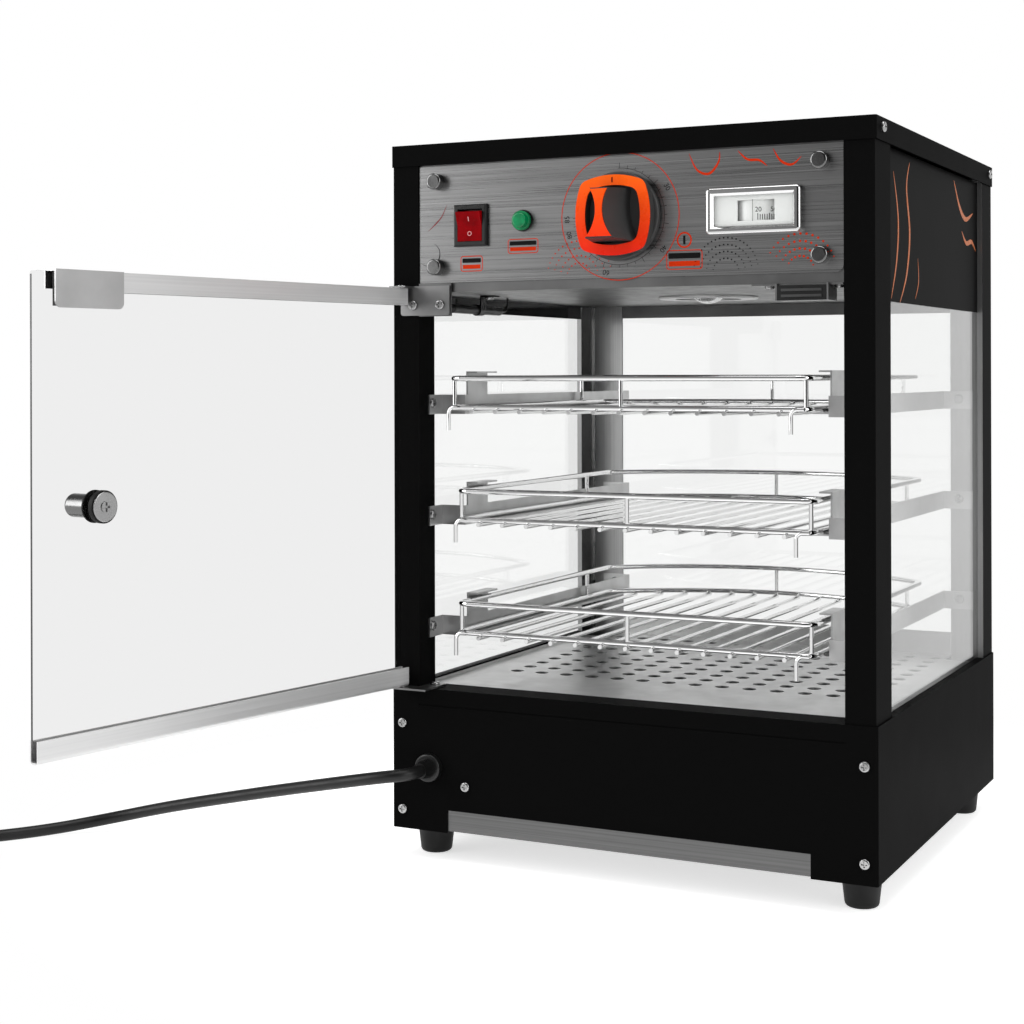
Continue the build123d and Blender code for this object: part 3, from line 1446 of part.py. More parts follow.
def make_gland():
    """The cord gland on the base's front: collar, neck and the nut inside."""
    facing = Plane(origin=(-gland_x, -half_depth, gland_z), z_dir=(0, -1, 0))
    up = (Align.CENTER, Align.CENTER, Align.MIN)
    down = (Align.CENTER, Align.CENTER, Align.MAX)
    collar = Cylinder(gland_diameter / 2, gland_collar_length, align=up)
    collar = fillet(collar.edges().group_by(Axis.Z)[-1], gland_collar_edge)
    neck_length = gland_length - gland_collar_length
    neck = Cone(gland_neck_diameter / 2, cord_diameter / 2 + gland_lip, neck_length, align=up)
    neck = Pos(0, 0, gland_collar_length) * neck
    thread = Cylinder(gland_thread_diameter / 2, gland_thread_length, align=down)
    nut = Pos(0, 0, -sheet) * Cylinder(gland_nut_diameter / 2, gland_nut_height, align=down)
    return facing * (collar + neck + thread + nut)


def main():
    os.makedirs("parts", exist_ok=True)
    save("top_cap", make_top_cap())
    save("case_screws", *screws_on(cap_seats()), *screws_on(base_seats(), 3.6), *screws_on(earth_seat(), 8.0),
         *screws_on(rear_cover_seats()))
    left_post, right_post = make_front_posts()
    save("post_front_left", left_post)
    save("post_front_right", right_post)
    rear_post = make_rear_post()
    save("post_rear_left", mirrored(rear_post))
    save("post_rear_right", rear_post)
    save("base_shell", make_base_shell())
    save("bottom_plate", make_bottom_plate())
    save("floor_plate", make_floor_plate())
    glass = make_side_glass()
    save("side_glass_left", mirrored(glass))
    save("side_glass_right", glass)
    save("rear_glass", make_rear_glass())
    save("rear_cover", make_rear_cover())
    save("ceiling_plate", make_ceiling_plate())
    save("upper_frame", make_upper_frame())
    save("control_panel", make_control_panel())
    save("panel_screws", *make_panel_screws())
    save("switch_body", make_switch_body())
    save("switch_rocker", make_switch_rocker())
    holder, lens = make_pilot()
    save("pilot_body", holder)
    save("pilot_lens", lens)
    body, inlays = make_knob()
    save("knob_body", body)
    save("knob_face", *inlays)
    thermostat, shaft = make_thermostat()
    save("thermostat_body", thermostat)
    save("thermostat_shaft", shaft)
    case, drum, pane = make_thermometer()
    save("thermometer_case", case)
    save("thermometer_drum", drum)
    save("thermometer_window", pane)
    bulb, clip = make_sensor()
    save("sensor_bulb", bulb)
    save("sensor_clip", clip)
    ring, lamp_holder, lamp_bulb = make_lamp()
    save("lamp_ring", ring)
    save("lamp_holder", lamp_holder)
    save("lamp_bulb", lamp_bulb)
    bracket, catch_body, poles = make_catch()
    save("catch_bracket", bracket)
    save("catch_body", catch_body)
    save("catch_poles", *poles)
    rack = make_rack()
    low, middle, high = rack_heights()
    save("rack_lower", Pos(0, rack_in_place, low) * rack)
    save("rack_middle", Pos(0, rack_in_place, middle) * rack)
    save("rack_upper", Pos(0, rack_in_place - upper_rack_pull, high) * rack)
    rails = make_rack_rails()
    save("rack_rails_right", *rails)
    save("rack_rails_left", *[mirrored(rail) for rail in rails])
    long_seats = rail_front_seats(1) + rail_front_seats(-1) + top_hinge_seats() + bottom_hinge_seats()
    long_seats += catch_seats() + clip_seat()
    short_seats = rail_rear_seats(1) + rail_rear_seats(-1)
    save("bracket_screws", *screws_on(long_seats), *screws_on(short_seats, 2 * sheet))
    save("door_glass", opened(make_door_glass()))
    top_channel, bottom_channel = make_door_channels()
    save("door_top_channel", opened(top_channel))
    save("door_bottom_channel", opened(bottom_channel))
    save("strike_plate", opened(make_strike_plate()))
    knob, knob_screw, pads = make_door_knob()
    save("door_knob", opened(knob))
    save("door_knob_screw", opened(knob_screw))
    save("door_pads", *[opened(pad) for pad in pads])
    save("hinge_plates", *make_hinge_plates())
    save("hinge_pins", *[opened(pin) for pin in make_hinge_pins()])
    feet, foot_screws = make_feet()
    save("feet", *feet)
    save("foot_screws", *foot_screws)
    tube, brackets = make_element()
    save("heating_element", tube)
    save("element_brackets", *brackets)
    save("terminal_block", make_terminal_block())
    save("cord_gland", make_gland())
    save("mains_cord", make_cord())
    coil, end, heading = make_coil()
    save("cord_coil", coil)
    save("plug", make_plug(end, heading))


main()
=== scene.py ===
import math

import bmesh
import bpy
from mathutils import Matrix, Vector


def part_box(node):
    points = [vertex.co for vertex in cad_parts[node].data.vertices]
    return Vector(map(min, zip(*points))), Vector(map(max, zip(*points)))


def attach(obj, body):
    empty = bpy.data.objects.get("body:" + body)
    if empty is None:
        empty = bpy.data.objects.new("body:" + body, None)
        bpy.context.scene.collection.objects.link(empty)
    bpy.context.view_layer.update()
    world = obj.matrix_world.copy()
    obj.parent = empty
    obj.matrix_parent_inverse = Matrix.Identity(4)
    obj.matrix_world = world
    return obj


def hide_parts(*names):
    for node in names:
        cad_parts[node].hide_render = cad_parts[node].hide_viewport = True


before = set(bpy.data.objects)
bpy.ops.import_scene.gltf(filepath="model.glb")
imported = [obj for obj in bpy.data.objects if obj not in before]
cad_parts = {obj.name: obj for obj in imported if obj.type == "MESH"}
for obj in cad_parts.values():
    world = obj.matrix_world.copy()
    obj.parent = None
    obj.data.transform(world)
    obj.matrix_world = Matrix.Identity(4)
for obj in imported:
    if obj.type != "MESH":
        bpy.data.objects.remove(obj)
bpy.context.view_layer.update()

# A countertop pizza warmer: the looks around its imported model. Metres, +Z up, the front faces -Y.

# Camera, fitted to the photograph's frame of 1024 x 1024
IMAGE_SIZE = 1024
CAMERA_PLACE = (0.4850, -1.2964, 0.3458)
CAMERA_TURN = 26.68
CAMERA_ROLL = -0.15
FOCAL_PIXELS = 1819.1
HORIZON_ROW = 372.9
SENSOR = 36.0

# Cord
CORD_DIAMETER = 0.0087
CORD_ROUTE = [
    (-0.1462, -0.1865, 0.0668),
    (-0.1462, -0.1995, 0.0668),
    (-0.1630, -0.2080, 0.0653),
    (-0.2000, -0.2080, 0.0578),
    (-0.2520, -0.2020, 0.0462),
    (-0.3060, -0.1980, 0.0338),
    (-0.3580, -0.1960, 0.0216),
    (-0.4050, -0.2020, 0.0096),
    (-0.4360, -0.2320, 0.0044),
    (-0.4640, -0.2730, 0.0044),
    (-0.5000, -0.3070, 0.0044),
]
COIL_RADIUS = 0.033
COIL_STEP = 0.0046
COIL_TURNS_IN = 4
COIL_TURNS_OUT = 5
COIL_LAST_WIDENING = 0.005
COIL_POINTS = 6

# Panel and dial
PANEL_FRONT = -0.1693
CONTROL_Z = 0.451
INK = 0.00006
DIAL_ARC = 0.0325
DIAL_ARC_ENDS = (92, -178)
DIAL_TICKS = 28
DIAL_TICK_TURN = 10
DIAL_TICK_REACH = 0.0345
DIAL_LONG_TICK_REACH = 0.0362
DIAL_LINE = 0.0003
DIAL_NUMBERS = (("30", 28), ("40", -36), ("60", -105), ("80", -163), ("85", 181))
DIAL_NUMBERS_REACH = 0.0388
DIAL_NUMBER_HEIGHT = 0.0036
DIAL_RING = 0.0429
DIAL_RING_LINE = 0.0006
KNOB_FACE_HALF = 0.027
KNOB_RING_TOP = -0.1819
KNOB_MARK_HALF = (0.0005, 0.0018)
KNOB_MARK_CORNER = 0.0004
KNOB_MARK_REACH = 0.0235

# Label plates: middle across and up, half width, half height
LABELS = (
    (-0.1128, 0.4225, 0.0085, 0.0052),
    (-0.0726, 0.4335, 0.0115, 0.0048),
    (0.0465, 0.4205, 0.0125, 0.0062),
)
LABEL_CORNER = 0.0018
LABEL_LINE = 0.0006
LABEL_UPPER_INSET = 0.0012
LABEL_LOWER_INSET = 0.0015
BAR_CORNER = 0.0006

# Shares of a plate's half height: how far its two bars stand off its middle, and their sizes
LABEL_BAR_RISE = 0.42
LABEL_UPPER_BAR = 0.3
LABEL_LOWER_BAR = 0.55

# Badge beside the plates
BADGE = (0.0465, 0.4335)
BADGE_RADIUS = 0.0048
BADGE_LINE = 0.0011
BADGE_BAR_HALF = (0.0008, 0.0030)

# Fans of dots: centre, first radius, row step, end angles, dots in the first row, more in each, dot radius
FAN_ROWS = 4
ORANGE_FANS = (
    ((-0.030, 0.4115), 0.009, 0.0050, (15, 165), 9, 3, 0.00065),
    ((0.1262, 0.4115), 0.009, 0.0048, (20, 150), 8, 2, 0.00085),
)
BLACK_FAN = ((0.0755, 0.4115), 0.009, 0.0045, (12, 168), 10, 4, 0.0006)

# Curls on the panel, and flowing strokes with their widths on the side panes
ORANGE_CURLS = (
    [(0.050, 0.4905), (0.0555, 0.4795), (0.064, 0.4765), (0.0705, 0.4835), (0.0715, 0.4905)],
    [(0.084, 0.4905), (0.0905, 0.4845), (0.0985, 0.4835), (0.104, 0.4795)],
    [(0.108, 0.4905), (0.113, 0.4825), (0.1205, 0.4795), (0.127, 0.4845)],
)
ORANGE_CURL_WIDTH = 0.0016
BLACK_CURL = [(-0.1535, 0.4235), (-0.1465, 0.4215), (-0.1395, 0.4255), (-0.1385, 0.4325), (-0.1425, 0.4375)]
BLACK_CURL_WIDTH = 0.0007
RED_CURL = [(-0.1475, 0.4465), (-0.1425, 0.4505), (-0.1365, 0.4565), (-0.1325, 0.4645)]
RED_CURL_WIDTH = 0.0008
SIDE_STROKES = (
    ([(-0.118, 0.394), (-0.104, 0.420), (-0.100, 0.448), (-0.112, 0.478)], 0.0030),
    ([(-0.096, 0.392), (-0.078, 0.412), (-0.070, 0.440), (-0.078, 0.470), (-0.070, 0.488)], 0.0036),
    ([(0.060, 0.488), (0.078, 0.470), (0.098, 0.462), (0.122, 0.468)], 0.0042),
    ([(0.085, 0.452), (0.100, 0.444), (0.118, 0.446), (0.132, 0.440)], 0.0036),
    ([(-0.055, 0.396), (-0.046, 0.408), (-0.048, 0.424)], 0.0014),
)

# Side panes
GLASS_OUTER = 0.1713
GLASS_FRONT = -0.1337
GLASS_BACK = 0.1386
PRINT_LOW = 0.392
PRINT_HIGH = 0.493
PRINT_MARGIN = 0.0003
PRINT_FILM = 0.0002
PRINT_STROKE = 0.0003

# Thermometer
THERMOMETER = (0.0955, 0.451)
FACE_FRONT = -0.1716
FACE_THICKNESS = 0.0006
FACE_HALF = (0.0275, 0.0112)
WINDOW_LEFT = -0.0111
WINDOW_RIGHT = 0.0141
WINDOW_HALF = 0.0067
HAIRLINE_U = -0.0007
HAIRLINE_WIDTH = 0.00025
HAIRLINE_LAP = 0.0003
HAIRLINE_THICKNESS = 0.0001
DRUM_AXIS = (0.0955, -0.1457)
DRUM_RADIUS = 0.025
DRUM_TICKS = 11
DRUM_FIRST_TICK = 0.0025
DRUM_TICK_STEP = 0.0015
DRUM_TICK_LOW = -0.0062
DRUM_TICK = 0.0036
DRUM_LONG_TICK = 0.0042
DRUM_LINE = 0.0005
DRUM_NUMBERS = (("20", 0.0028), ("50", 0.0128))
DRUM_NUMBER_V = 0.0004
DRUM_NUMBER_HEIGHT = 0.0032

# Rocker switch
ROCKER_PIVOT = (-0.1128, -0.1691, 0.4492)
ROCKER_REACH = 0.0034
ROCKER_HALF = 0.0103
ROCKER_TILT = 10.0
ROCKER_BAR_HALF = 0.0016
ROCKER_BAR_LINE = 0.0005
ROCKER_RING = 0.0014
ROCKER_RING_LINE = 0.0004

# Door glass, and the painted dark line along its free edge, which stands in for the dark look of the glass's
# edge
DOOR_TURN = -10.3
DOOR_OUTER = -0.1330
DOOR_THICKNESS = 0.005
ARRIS_MARGIN = 0.0001
ARRIS_WIDTH = 0.0012
ARRIS_TOP_GAP = 0.002
ARRIS_SINK = 0.0002
ARRIS_PROUD = 0.0001

# Light, floor and background
WORLD_LIGHT = 0.55
CEILING_RISE = (0.12, 0.6)
CEILING_TONE = 0.2
DARK_SIDE = (0.25, -0.968, 0.0)
DARK_SPREAD = (0.6, 0.9)
DARK_TONE = 0.02
FLOOR_HALF = 12.0
FLOOR_GLOW = 0.62
SHADOW_FADE = (0.32, 0.52)
LAMP_AIM = (0, 0, 0.3)

# A noise seldom leaves this range, so its tones are spread over it
NOISE_LOW = 0.3
NOISE_HIGH = 0.7


def linear(value):
    """A display value from 0 to 255 as a linear one."""
    share = value / 255
    return share / 12.92 if share <= 0.04045 else ((share + 0.055) / 1.055) ** 2.4


def rgb(red, green, blue):
    """A display colour as a linear one."""
    return (linear(red), linear(green), linear(blue), 1.0)


def grey(value):
    return rgb(value, value, value)


def link(thing):
    bpy.context.scene.collection.objects.link(thing)


# Camera
def make_camera():
    data = bpy.data.cameras.new("photo_camera")
    data.sensor_width = SENSOR
    data.lens = FOCAL_PIXELS * SENSOR / IMAGE_SIZE
    data.shift_y = (HORIZON_ROW - IMAGE_SIZE / 2) / IMAGE_SIZE
    data.clip_start = 0.05
    data.clip_end = 60
    camera = bpy.data.objects.new("photo_camera", data)
    link(camera)
    turn = Matrix.Rotation(math.radians(CAMERA_TURN), 4, "Z")
    upright = Matrix.Rotation(math.radians(90), 4, "X")
    roll = Matrix.Rotation(math.radians(CAMERA_ROLL), 4, "Z")
    camera.matrix_world = Matrix.Translation(CAMERA_PLACE) @ turn @ upright @ roll
    bpy.context.scene.camera = camera


# Node tools
def map_range(nodes, links, source, low, high, start, end):
    """A number mapped from low..high to start..end, and held at both ends."""
    node = nodes.new("ShaderNodeMapRange")
    links.new(source, node.inputs["Value"])
    for socket, value in (("From Min", low), ("From Max", high), ("To Min", start), ("To Max", end)):
        node.inputs[socket].default_value = value
    return node.outputs["Result"]


def join(nodes, links, operation, first, second):
    """Two numbers joined by the named operation."""
    node = nodes.new("ShaderNodeMath")
    node.operation = operation
    links.new(first, node.inputs[0])
    links.new(second, node.inputs[1])
    return node.outputs["Value"]


def along_direction(nodes, links, source, direction):
    """How far a vector points along a direction."""
    node = nodes.new("ShaderNodeVectorMath")
    node.operation = "DOT_PRODUCT"
    node.inputs[1].default_value = direction
    links.new(source, node.inputs[0])
    return node.outputs["Value"]


def any_ray(nodes, links, *kinds):
    """1 for the named kinds of ray, and 0 for the rest."""
    rays = nodes.new("ShaderNodeLightPath")
    factor = rays.outputs[kinds[0]]
    for kind in kinds[1:]:
        factor = join(nodes, links, "MAXIMUM", factor, rays.outputs[kind])
    return factor


def mix_shaders(nodes, links, factor, first, second):
    """The first shader where the factor is 0, and the second where it is 1."""
    node = nodes.new("ShaderNodeMixShader")
    links.new(factor, node.inputs["Fac"])
    links.new(first, node.inputs[1])
    links.new(second, node.inputs[2])
    return node.outputs["Shader"]


def clear_shader(nodes, tint):
    node = nodes.new("ShaderNodeBsdfTransparent")
    node.inputs["Color"].default_value = tint
    return node.outputs["BSDF"]


# Materials
class Paint:
    """A principled material with its node tools at hand."""

    def __init__(self, name, colour, rough, metal=0.0, shine=0.5):
        self.material = bpy.data.materials.new(name)
        self.material.use_nodes = True
        self.nodes = self.material.node_tree.nodes
        self.links = self.material.node_tree.links
        self.shader = self.nodes["Principled BSDF"]
        self.surface = self.shader.outputs["BSDF"]
        self.set("Base Color", colour)
        self.set("Roughness", rough)
        self.set("Metallic", metal)
        self.set("Specular IOR Level", shine)
        coordinates = self.nodes.new("ShaderNodeTexCoord")
        self.place = coordinates.outputs["Object"]
        self.facing = coordinates.outputs["Normal"]

    def set(self, socket, value):
        self.shader.inputs[socket].default_value = value

    def drive(self, socket, source):
        self.links.new(source, self.shader.inputs[socket])

    def show(self, shader):
        """Makes a shader the one that shows."""
        self.links.new(shader, self.nodes["Material Output"].inputs["Surface"])

    def stretched(self, scale, turn=(0, 0, 0), kind="POINT"):
        """Object coordinates, scaled by a different number along each axis."""
        mapping = self.nodes.new("ShaderNodeMapping")
        mapping.vector_type = kind
        mapping.inputs["Scale"].default_value = scale
        mapping.inputs["Rotation"].default_value = turn
        self.links.new(self.place, mapping.inputs["Vector"])
        return mapping.outputs["Vector"]

    def noise(self, scale, detail=3.0, where=None):
        texture = self.nodes.new("ShaderNodeTexNoise")
        texture.inputs["Scale"].default_value = scale
        texture.inputs["Detail"].default_value = detail
        self.links.new(where or self.place, texture.inputs["Vector"])
        return texture.outputs["Fac"]

    def ramp(self, factor, *stops):
        """A colour ramp over a factor, from pairs of position and colour."""
        node = self.nodes.new("ShaderNodeValToRGB")
        elements = node.color_ramp.elements
        while len(elements) < len(stops):
            elements.new(0.5)
        for element, (position, colour) in zip(elements, stops):
            element.position = position
            element.color = colour
        self.links.new(factor, node.inputs["Fac"])
        return node.outputs["Color"]

    def tones(self, noise, dark, light):
        """Colours from dark to light over a noise."""
        return self.ramp(noise, (NOISE_LOW, dark), (NOISE_HIGH, light))

    def colour(self, noise, dark, light):
        self.drive("Base Color", self.tones(noise, dark, light))

    def roughen(self, noise, low, high):
        """Roughness from low to high over a noise."""
        self.drive("Roughness", map_range(self.nodes, self.links, noise, NOISE_LOW, NOISE_HIGH, low, high))

    def mix(self, factor, first, second):
        """A fixed colour where the factor is 0, and a colour from a node where it is 1."""
        node = self.nodes.new("ShaderNodeMix")
        node.data_type = "RGBA"
        colours = [socket for socket in node.inputs if socket.type == "RGBA"]
        self.links.new(factor, node.inputs["Factor"])
        colours[0].default_value = first
        self.links.new(second, colours[1])
        return [socket for socket in node.outputs if socket.type == "RGBA"][0]

    def bump(self, height, strength, distance):
        node = self.nodes.new("ShaderNodeBump")
        node.inputs["Strength"].default_value = strength
        node.inputs["Distance"].default_value = distance
        self.links.new(height, node.inputs["Height"])
        self.drive("Normal", node.outputs["Normal"])


def black_sheet():
    """Satin powder coat with its fine grain."""
    paint = Paint("black_powder_coat", grey(14), 0.42, shine=0.003)
    paint.roughen(paint.noise(38.0), 0.42, 0.44)
    paint.bump(paint.noise(1500.0, 2.0), 0.12, 0.0002)
    return paint.material


def rear_post_sheet():
    """Powder coat outside, and bare brushed metal on the flange that faces the front."""
    paint = Paint("rear_post_sheet", grey(14), 0.4, shine=0.003)
    nodes, links = paint.nodes, paint.links
    towards = along_direction(nodes, links, paint.facing, (0, -1, 0))
    front = map_range(nodes, links, towards, 0.8, 0.9, 0.0, 1.0)
    streaks = paint.noise(1.0, 4.0, paint.stretched((900, 900, 5)))
    paint.drive("Base Color", paint.mix(front, grey(14), paint.tones(streaks, grey(148), grey(164))))
    paint.drive("Metallic", front)
    return paint.material


def brushed_steel(name, tone, rough, across, spread):
    """Metal brushed along one axis: the streaks are long where the scale is small."""
    paint = Paint(name, grey(tone), rough, metal=1.0)
    streaks = paint.noise(1.0, 4.0, paint.stretched(across))
    paint.colour(streaks, grey(tone - spread), grey(tone + spread))
    paint.roughen(streaks, rough - 0.06, rough + 0.08)
    paint.bump(streaks, 0.10, 0.0001)
    return paint.material


def plain_steel(name, tone, rough, spread=9):
    """Rolled sheet with a faint cloudy look."""
    paint = Paint(name, grey(tone), rough, metal=1.0)
    paint.colour(paint.noise(28.0, 5.0), grey(tone - spread), grey(tone + spread))
    paint.roughen(paint.noise(90.0, 3.0), rough - 0.06, rough + 0.08)
    paint.bump(paint.noise(700.0, 2.0), 0.06, 0.0001)
    return paint.material


def along_door(name, tone, rough, spread=5):
    """Smooth anodised aluminium with fine lines drawn along the door."""
    paint = Paint(name, grey(tone), rough, metal=0.55)
    where = paint.stretched((1 / 900, 1 / 4, 1 / 900), (0, 0, math.radians(DOOR_TURN)), "TEXTURE")
    streaks = paint.noise(1.0, 3.0, where)
    paint.colour(streaks, grey(tone - spread), grey(tone + spread))
    paint.roughen(streaks, rough - 0.04, rough + 0.06)
    return paint.material


def polished(name, tone, rough):
    """Plated or polished metal with faint wear."""
    paint = Paint(name, grey(tone), rough, metal=1.0)
    paint.roughen(paint.noise(60.0, 4.0), rough * 0.7, rough * 1.5)
    paint.bump(paint.noise(300.0, 2.0), 0.03, 0.0001)
    return paint.material


def moulded(name, colour, rough=0.3, shine=0.4, grain=0.06):
    """Moulded plastic, rubber or ceramic with a fine grain."""
    paint = Paint(name, colour, rough, shine=shine)
    paint.roughen(paint.noise(120.0), rough - 0.05, rough + 0.07)
    paint.bump(paint.noise(1800.0, 2.0), grain, 0.0001)
    return paint.material


def cord_sheath(name):
    return moulded(name, grey(17), 0.42, 0.35)


def thick_glass(name, tint):
    """Glass with its own mirror sheen, which lets the lamps through."""
    paint = Paint(name, tint, 0.0)
    paint.set("Transmission Weight", 1.0)
    paint.set("IOR", 1.45)
    nodes, links = paint.nodes, paint.links
    lit = any_ray(nodes, links, "Is Shadow Ray", "Is Diffuse Ray")
    paint.show(mix_shaders(nodes, links, lit, paint.surface, clear_shader(nodes, tint)))
    return paint.material


def pane(name, tint, blend, painted_sheen, rough):
    """Thin clear glass: straight through, with a painted sheen that grows towards grazing: a pale matt layer
    in place of the glass's reflection.
    """
    # Painted sheen: a pale principled layer, mixed in towards grazing, stands in for the reflection of the
    # glass
    paint = Paint(name, painted_sheen, rough)
    nodes, links = paint.nodes, paint.links
    weight = nodes.new("ShaderNodeLayerWeight")
    weight.inputs["Blend"].default_value = blend
    fresnel = weight.outputs["Fresnel"]
    paint.show(mix_shaders(nodes, links, fresnel, clear_shader(nodes, tint), paint.surface))
    return paint.material


def knob_orange():
    """The knob's inlay, orange above and redder below."""
    paint = Paint("knob_orange", rgb(255, 90, 0), 0.3, shine=0.2)
    axes = paint.nodes.new("ShaderNodeSeparateXYZ")
    paint.links.new(paint.place, axes.inputs["Vector"])
    low, high = CONTROL_Z - KNOB_FACE_HALF, CONTROL_Z + KNOB_FACE_HALF
    height = map_range(paint.nodes, paint.links, axes.outputs["Z"], low, high, 0.0, 1.0)
    stops = (
        (0.0, rgb(232, 26, 0)),
        (0.35, rgb(250, 60, 0)),
        (0.75, rgb(255, 84, 0)),
        (1.0, rgb(255, 100, 0)),
    )
    paint.drive("Base Color", paint.ramp(height, *stops))
    paint.roughen(paint.noise(140.0), 0.24, 0.34)
    return paint.material


def rocker_red():
    """Translucent dark red plastic."""
    paint = Paint("rocker_red", rgb(126, 0, 8), 0.25, shine=0.04)
    paint.set("Coat Weight", 0.05)
    paint.set("Coat Roughness", 0.05)
    paint.colour(paint.noise(160.0), rgb(118, 0, 5), rgb(142, 0, 8))
    return paint.material


def lens_green():
    """Translucent green plastic with a glossy skin."""
    paint = Paint("lens_green", rgb(0, 124, 74), 0.16, shine=0.3)
    paint.set("Coat Weight", 0.35)
    paint.set("Coat Roughness", 0.06)
    paint.colour(paint.noise(220.0), rgb(0, 110, 64), rgb(4, 140, 84))
    return paint.material


def ink(name, colour, rough=0.45):
    """Screen printing ink with a slightly uneven film."""
    paint = Paint(name, colour, rough, shine=0.06)
    paint.roughen(paint.noise(300.0), rough - 0.06, rough + 0.08)
    return paint.material


def glass_print():
    """The smooth black film on the top of the side panes."""
    paint = Paint("glass_print_black", grey(12), 0.4, shine=0.006)
    paint.roughen(paint.noise(9.0), 0.39, 0.41)
    return paint.material


def dress(node, material):
    """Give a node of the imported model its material."""
    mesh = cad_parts[node].data
    if len(mesh.materials) == 0:
        mesh.materials.append(material)
    for index in range(len(mesh.materials)):
        mesh.materials[index] = material


def dress_nodes():
    table = {
        black_sheet(): ["top_cap", "post_front_left", "post_front_right", "base_shell", "rear_cover"],
        rear_post_sheet(): ["post_rear_left", "post_rear_right"],
        brushed_steel("panel_steel", 132, 0.3, (9, 9, 2200), 7): ["control_panel"],
        brushed_steel("base_zinc", 102, 0.4, (5, 5, 900), 9): ["bottom_plate", "element_brackets"],
        plain_steel("rail_steel", 185, 0.34): [
            "rack_rails_left", "rack_rails_right", "thermostat_body", "lamp_ring"],
        plain_steel("hinge_steel", 130, 0.34): ["hinge_plates", "catch_bracket"],
        plain_steel("chamber_steel", 104, 0.4): ["ceiling_plate", "upper_frame"],
        plain_steel("floor_steel", 200, 0.36): ["floor_plate"],
        plain_steel("strike_steel", 186, 0.42): ["strike_plate"],
        along_door("channel_aluminium", 216, 0.32): ["door_top_channel", "door_bottom_channel"],
        polished("screw_steel", 165, 0.22): [
            "case_screws", "bracket_screws", "foot_screws", "door_knob_screw", "hinge_pins",
            "thermostat_shaft"],
        polished("pole_steel", 90, 0.3): ["catch_poles"],
        polished("stud_metal", 120, 0.16): ["panel_screws"],
        polished("knob_metal", 130, 0.22): ["door_knob"],
        polished("wire_chrome", 228, 0.04): ["rack_lower", "rack_middle", "rack_upper"],
        polished("bulb_glass", 215, 0.15): ["lamp_bulb"],
        polished("element_sheath", 90, 0.4): ["heating_element"],
        polished("sensor_metal", 60, 0.3): ["sensor_bulb"],
        polished("thermometer_chrome", 222, 0.08): ["thermometer_case"],
        pane("door_glass", (0.925, 0.925, 0.925, 1), 0.02, grey(235), 0.1): ["door_glass"],
        pane("window_glass", (0.985, 0.99, 0.985, 1), 0.02, grey(235), 0.05): ["thermometer_window"],
        thick_glass("clear_glass", (0.93, 0.935, 0.93, 1)): [
            "side_glass_left", "side_glass_right", "rear_glass"],
        moulded("black_plastic", grey(18)): [
            "switch_body", "pilot_body", "catch_body", "cord_gland", "sensor_clip"],
        moulded("knob_black", grey(58), 0.4, 0.35, 0.02): ["knob_body"],
        moulded("black_rubber", grey(20), 0.55, 0.25, 0.15): ["feet", "door_pads", "plug"],
        moulded("glazed_ceramic", grey(225), 0.25): ["lamp_holder", "terminal_block"],
        moulded("thermometer_white", grey(238)): ["thermometer_drum"],
        knob_orange(): ["knob_face"],
        rocker_red(): ["switch_rocker"],
        lens_green(): ["pilot_lens"],
        cord_sheath("cord_sheath"): ["mains_cord", "cord_coil"],
    }
    for material, nodes in table.items():
        for node in nodes:
            dress(node, material)


# Surfaces of the object, each as a map from a flat drawing: u across, v up, w out
def on_front(x, z, y=PANEL_FRONT):
    return lambda u, v, w: Vector((x + u, y - w, z + v))


def on_side(side):
    """The outer face of the right (1) or left (-1) pane, with u to the back."""
    return lambda u, v, w: Vector((side * (GLASS_OUTER + w), u, v))


def on_drum(u, v, w):
    angle = u / DRUM_RADIUS
    reach = DRUM_RADIUS + w
    x, y = DRUM_AXIS
    return Vector((x + reach * math.sin(angle), y - reach * math.cos(angle), THERMOMETER[1] + v))


def on_rocker(side):
    """The rocker's upper (1) or lower (-1) face."""
    tip = ROCKER_REACH + ROCKER_HALF * math.tan(math.radians(ROCKER_TILT))
    up = Vector((0, side * (ROCKER_REACH - tip), ROCKER_HALF)).normalized()
    out = Vector((0, -up.z, up.y))
    middle = Vector((0, -(ROCKER_REACH + tip) / 2, side * ROCKER_HALF / 2))
    tilt = Matrix.Rotation(math.radians(ROCKER_TILT), 3, "X")
    return lambda u, v, w: Vector(ROCKER_PIVOT) + tilt @ (middle + Vector((u, 0, 0)) + up * v + out * w)


# Shapes laid on a surface
def finish_mesh(name, bm, material, body):
    mesh = bpy.data.meshes.new(name)
    bmesh.ops.recalc_face_normals(bm, faces=bm.faces)
    bm.to_mesh(mesh)
    bm.free()
    mesh.materials.append(material)
    piece = bpy.data.objects.new(name, mesh)
    link(piece)
    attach(piece, body)


def add_prism(bm, outline, where, low=0.0, high=INK):
    """A closed slab over an outline."""
    bottom = [bm.verts.new(where(u, v, low)) for u, v in outline]
    top = [bm.verts.new(where(u, v, high)) for u, v in outline]
    bm.faces.new(bottom[::-1])
    bm.faces.new(top)
    count = len(outline)
    for index in range(count):
        after = (index + 1) % count
        bm.faces.new((bottom[index], bottom[after], top[after], top[index]))


def add_frame(bm, outer, inner, where, low=0.0, high=INK):
    """A closed slab between an outer and an inner outline of as many points."""
    loops = [[bm.verts.new(where(u, v, w)) for u, v in outline]
             for outline, w in ((outer, low), (outer, high), (inner, high), (inner, low))]
    count = len(outer)
    for first, second in zip(loops, loops[1:] + loops[:1]):
        for index in range(count):
            after = (index + 1) % count
            bm.faces.new((first[index], first[after], second[after], second[index]))


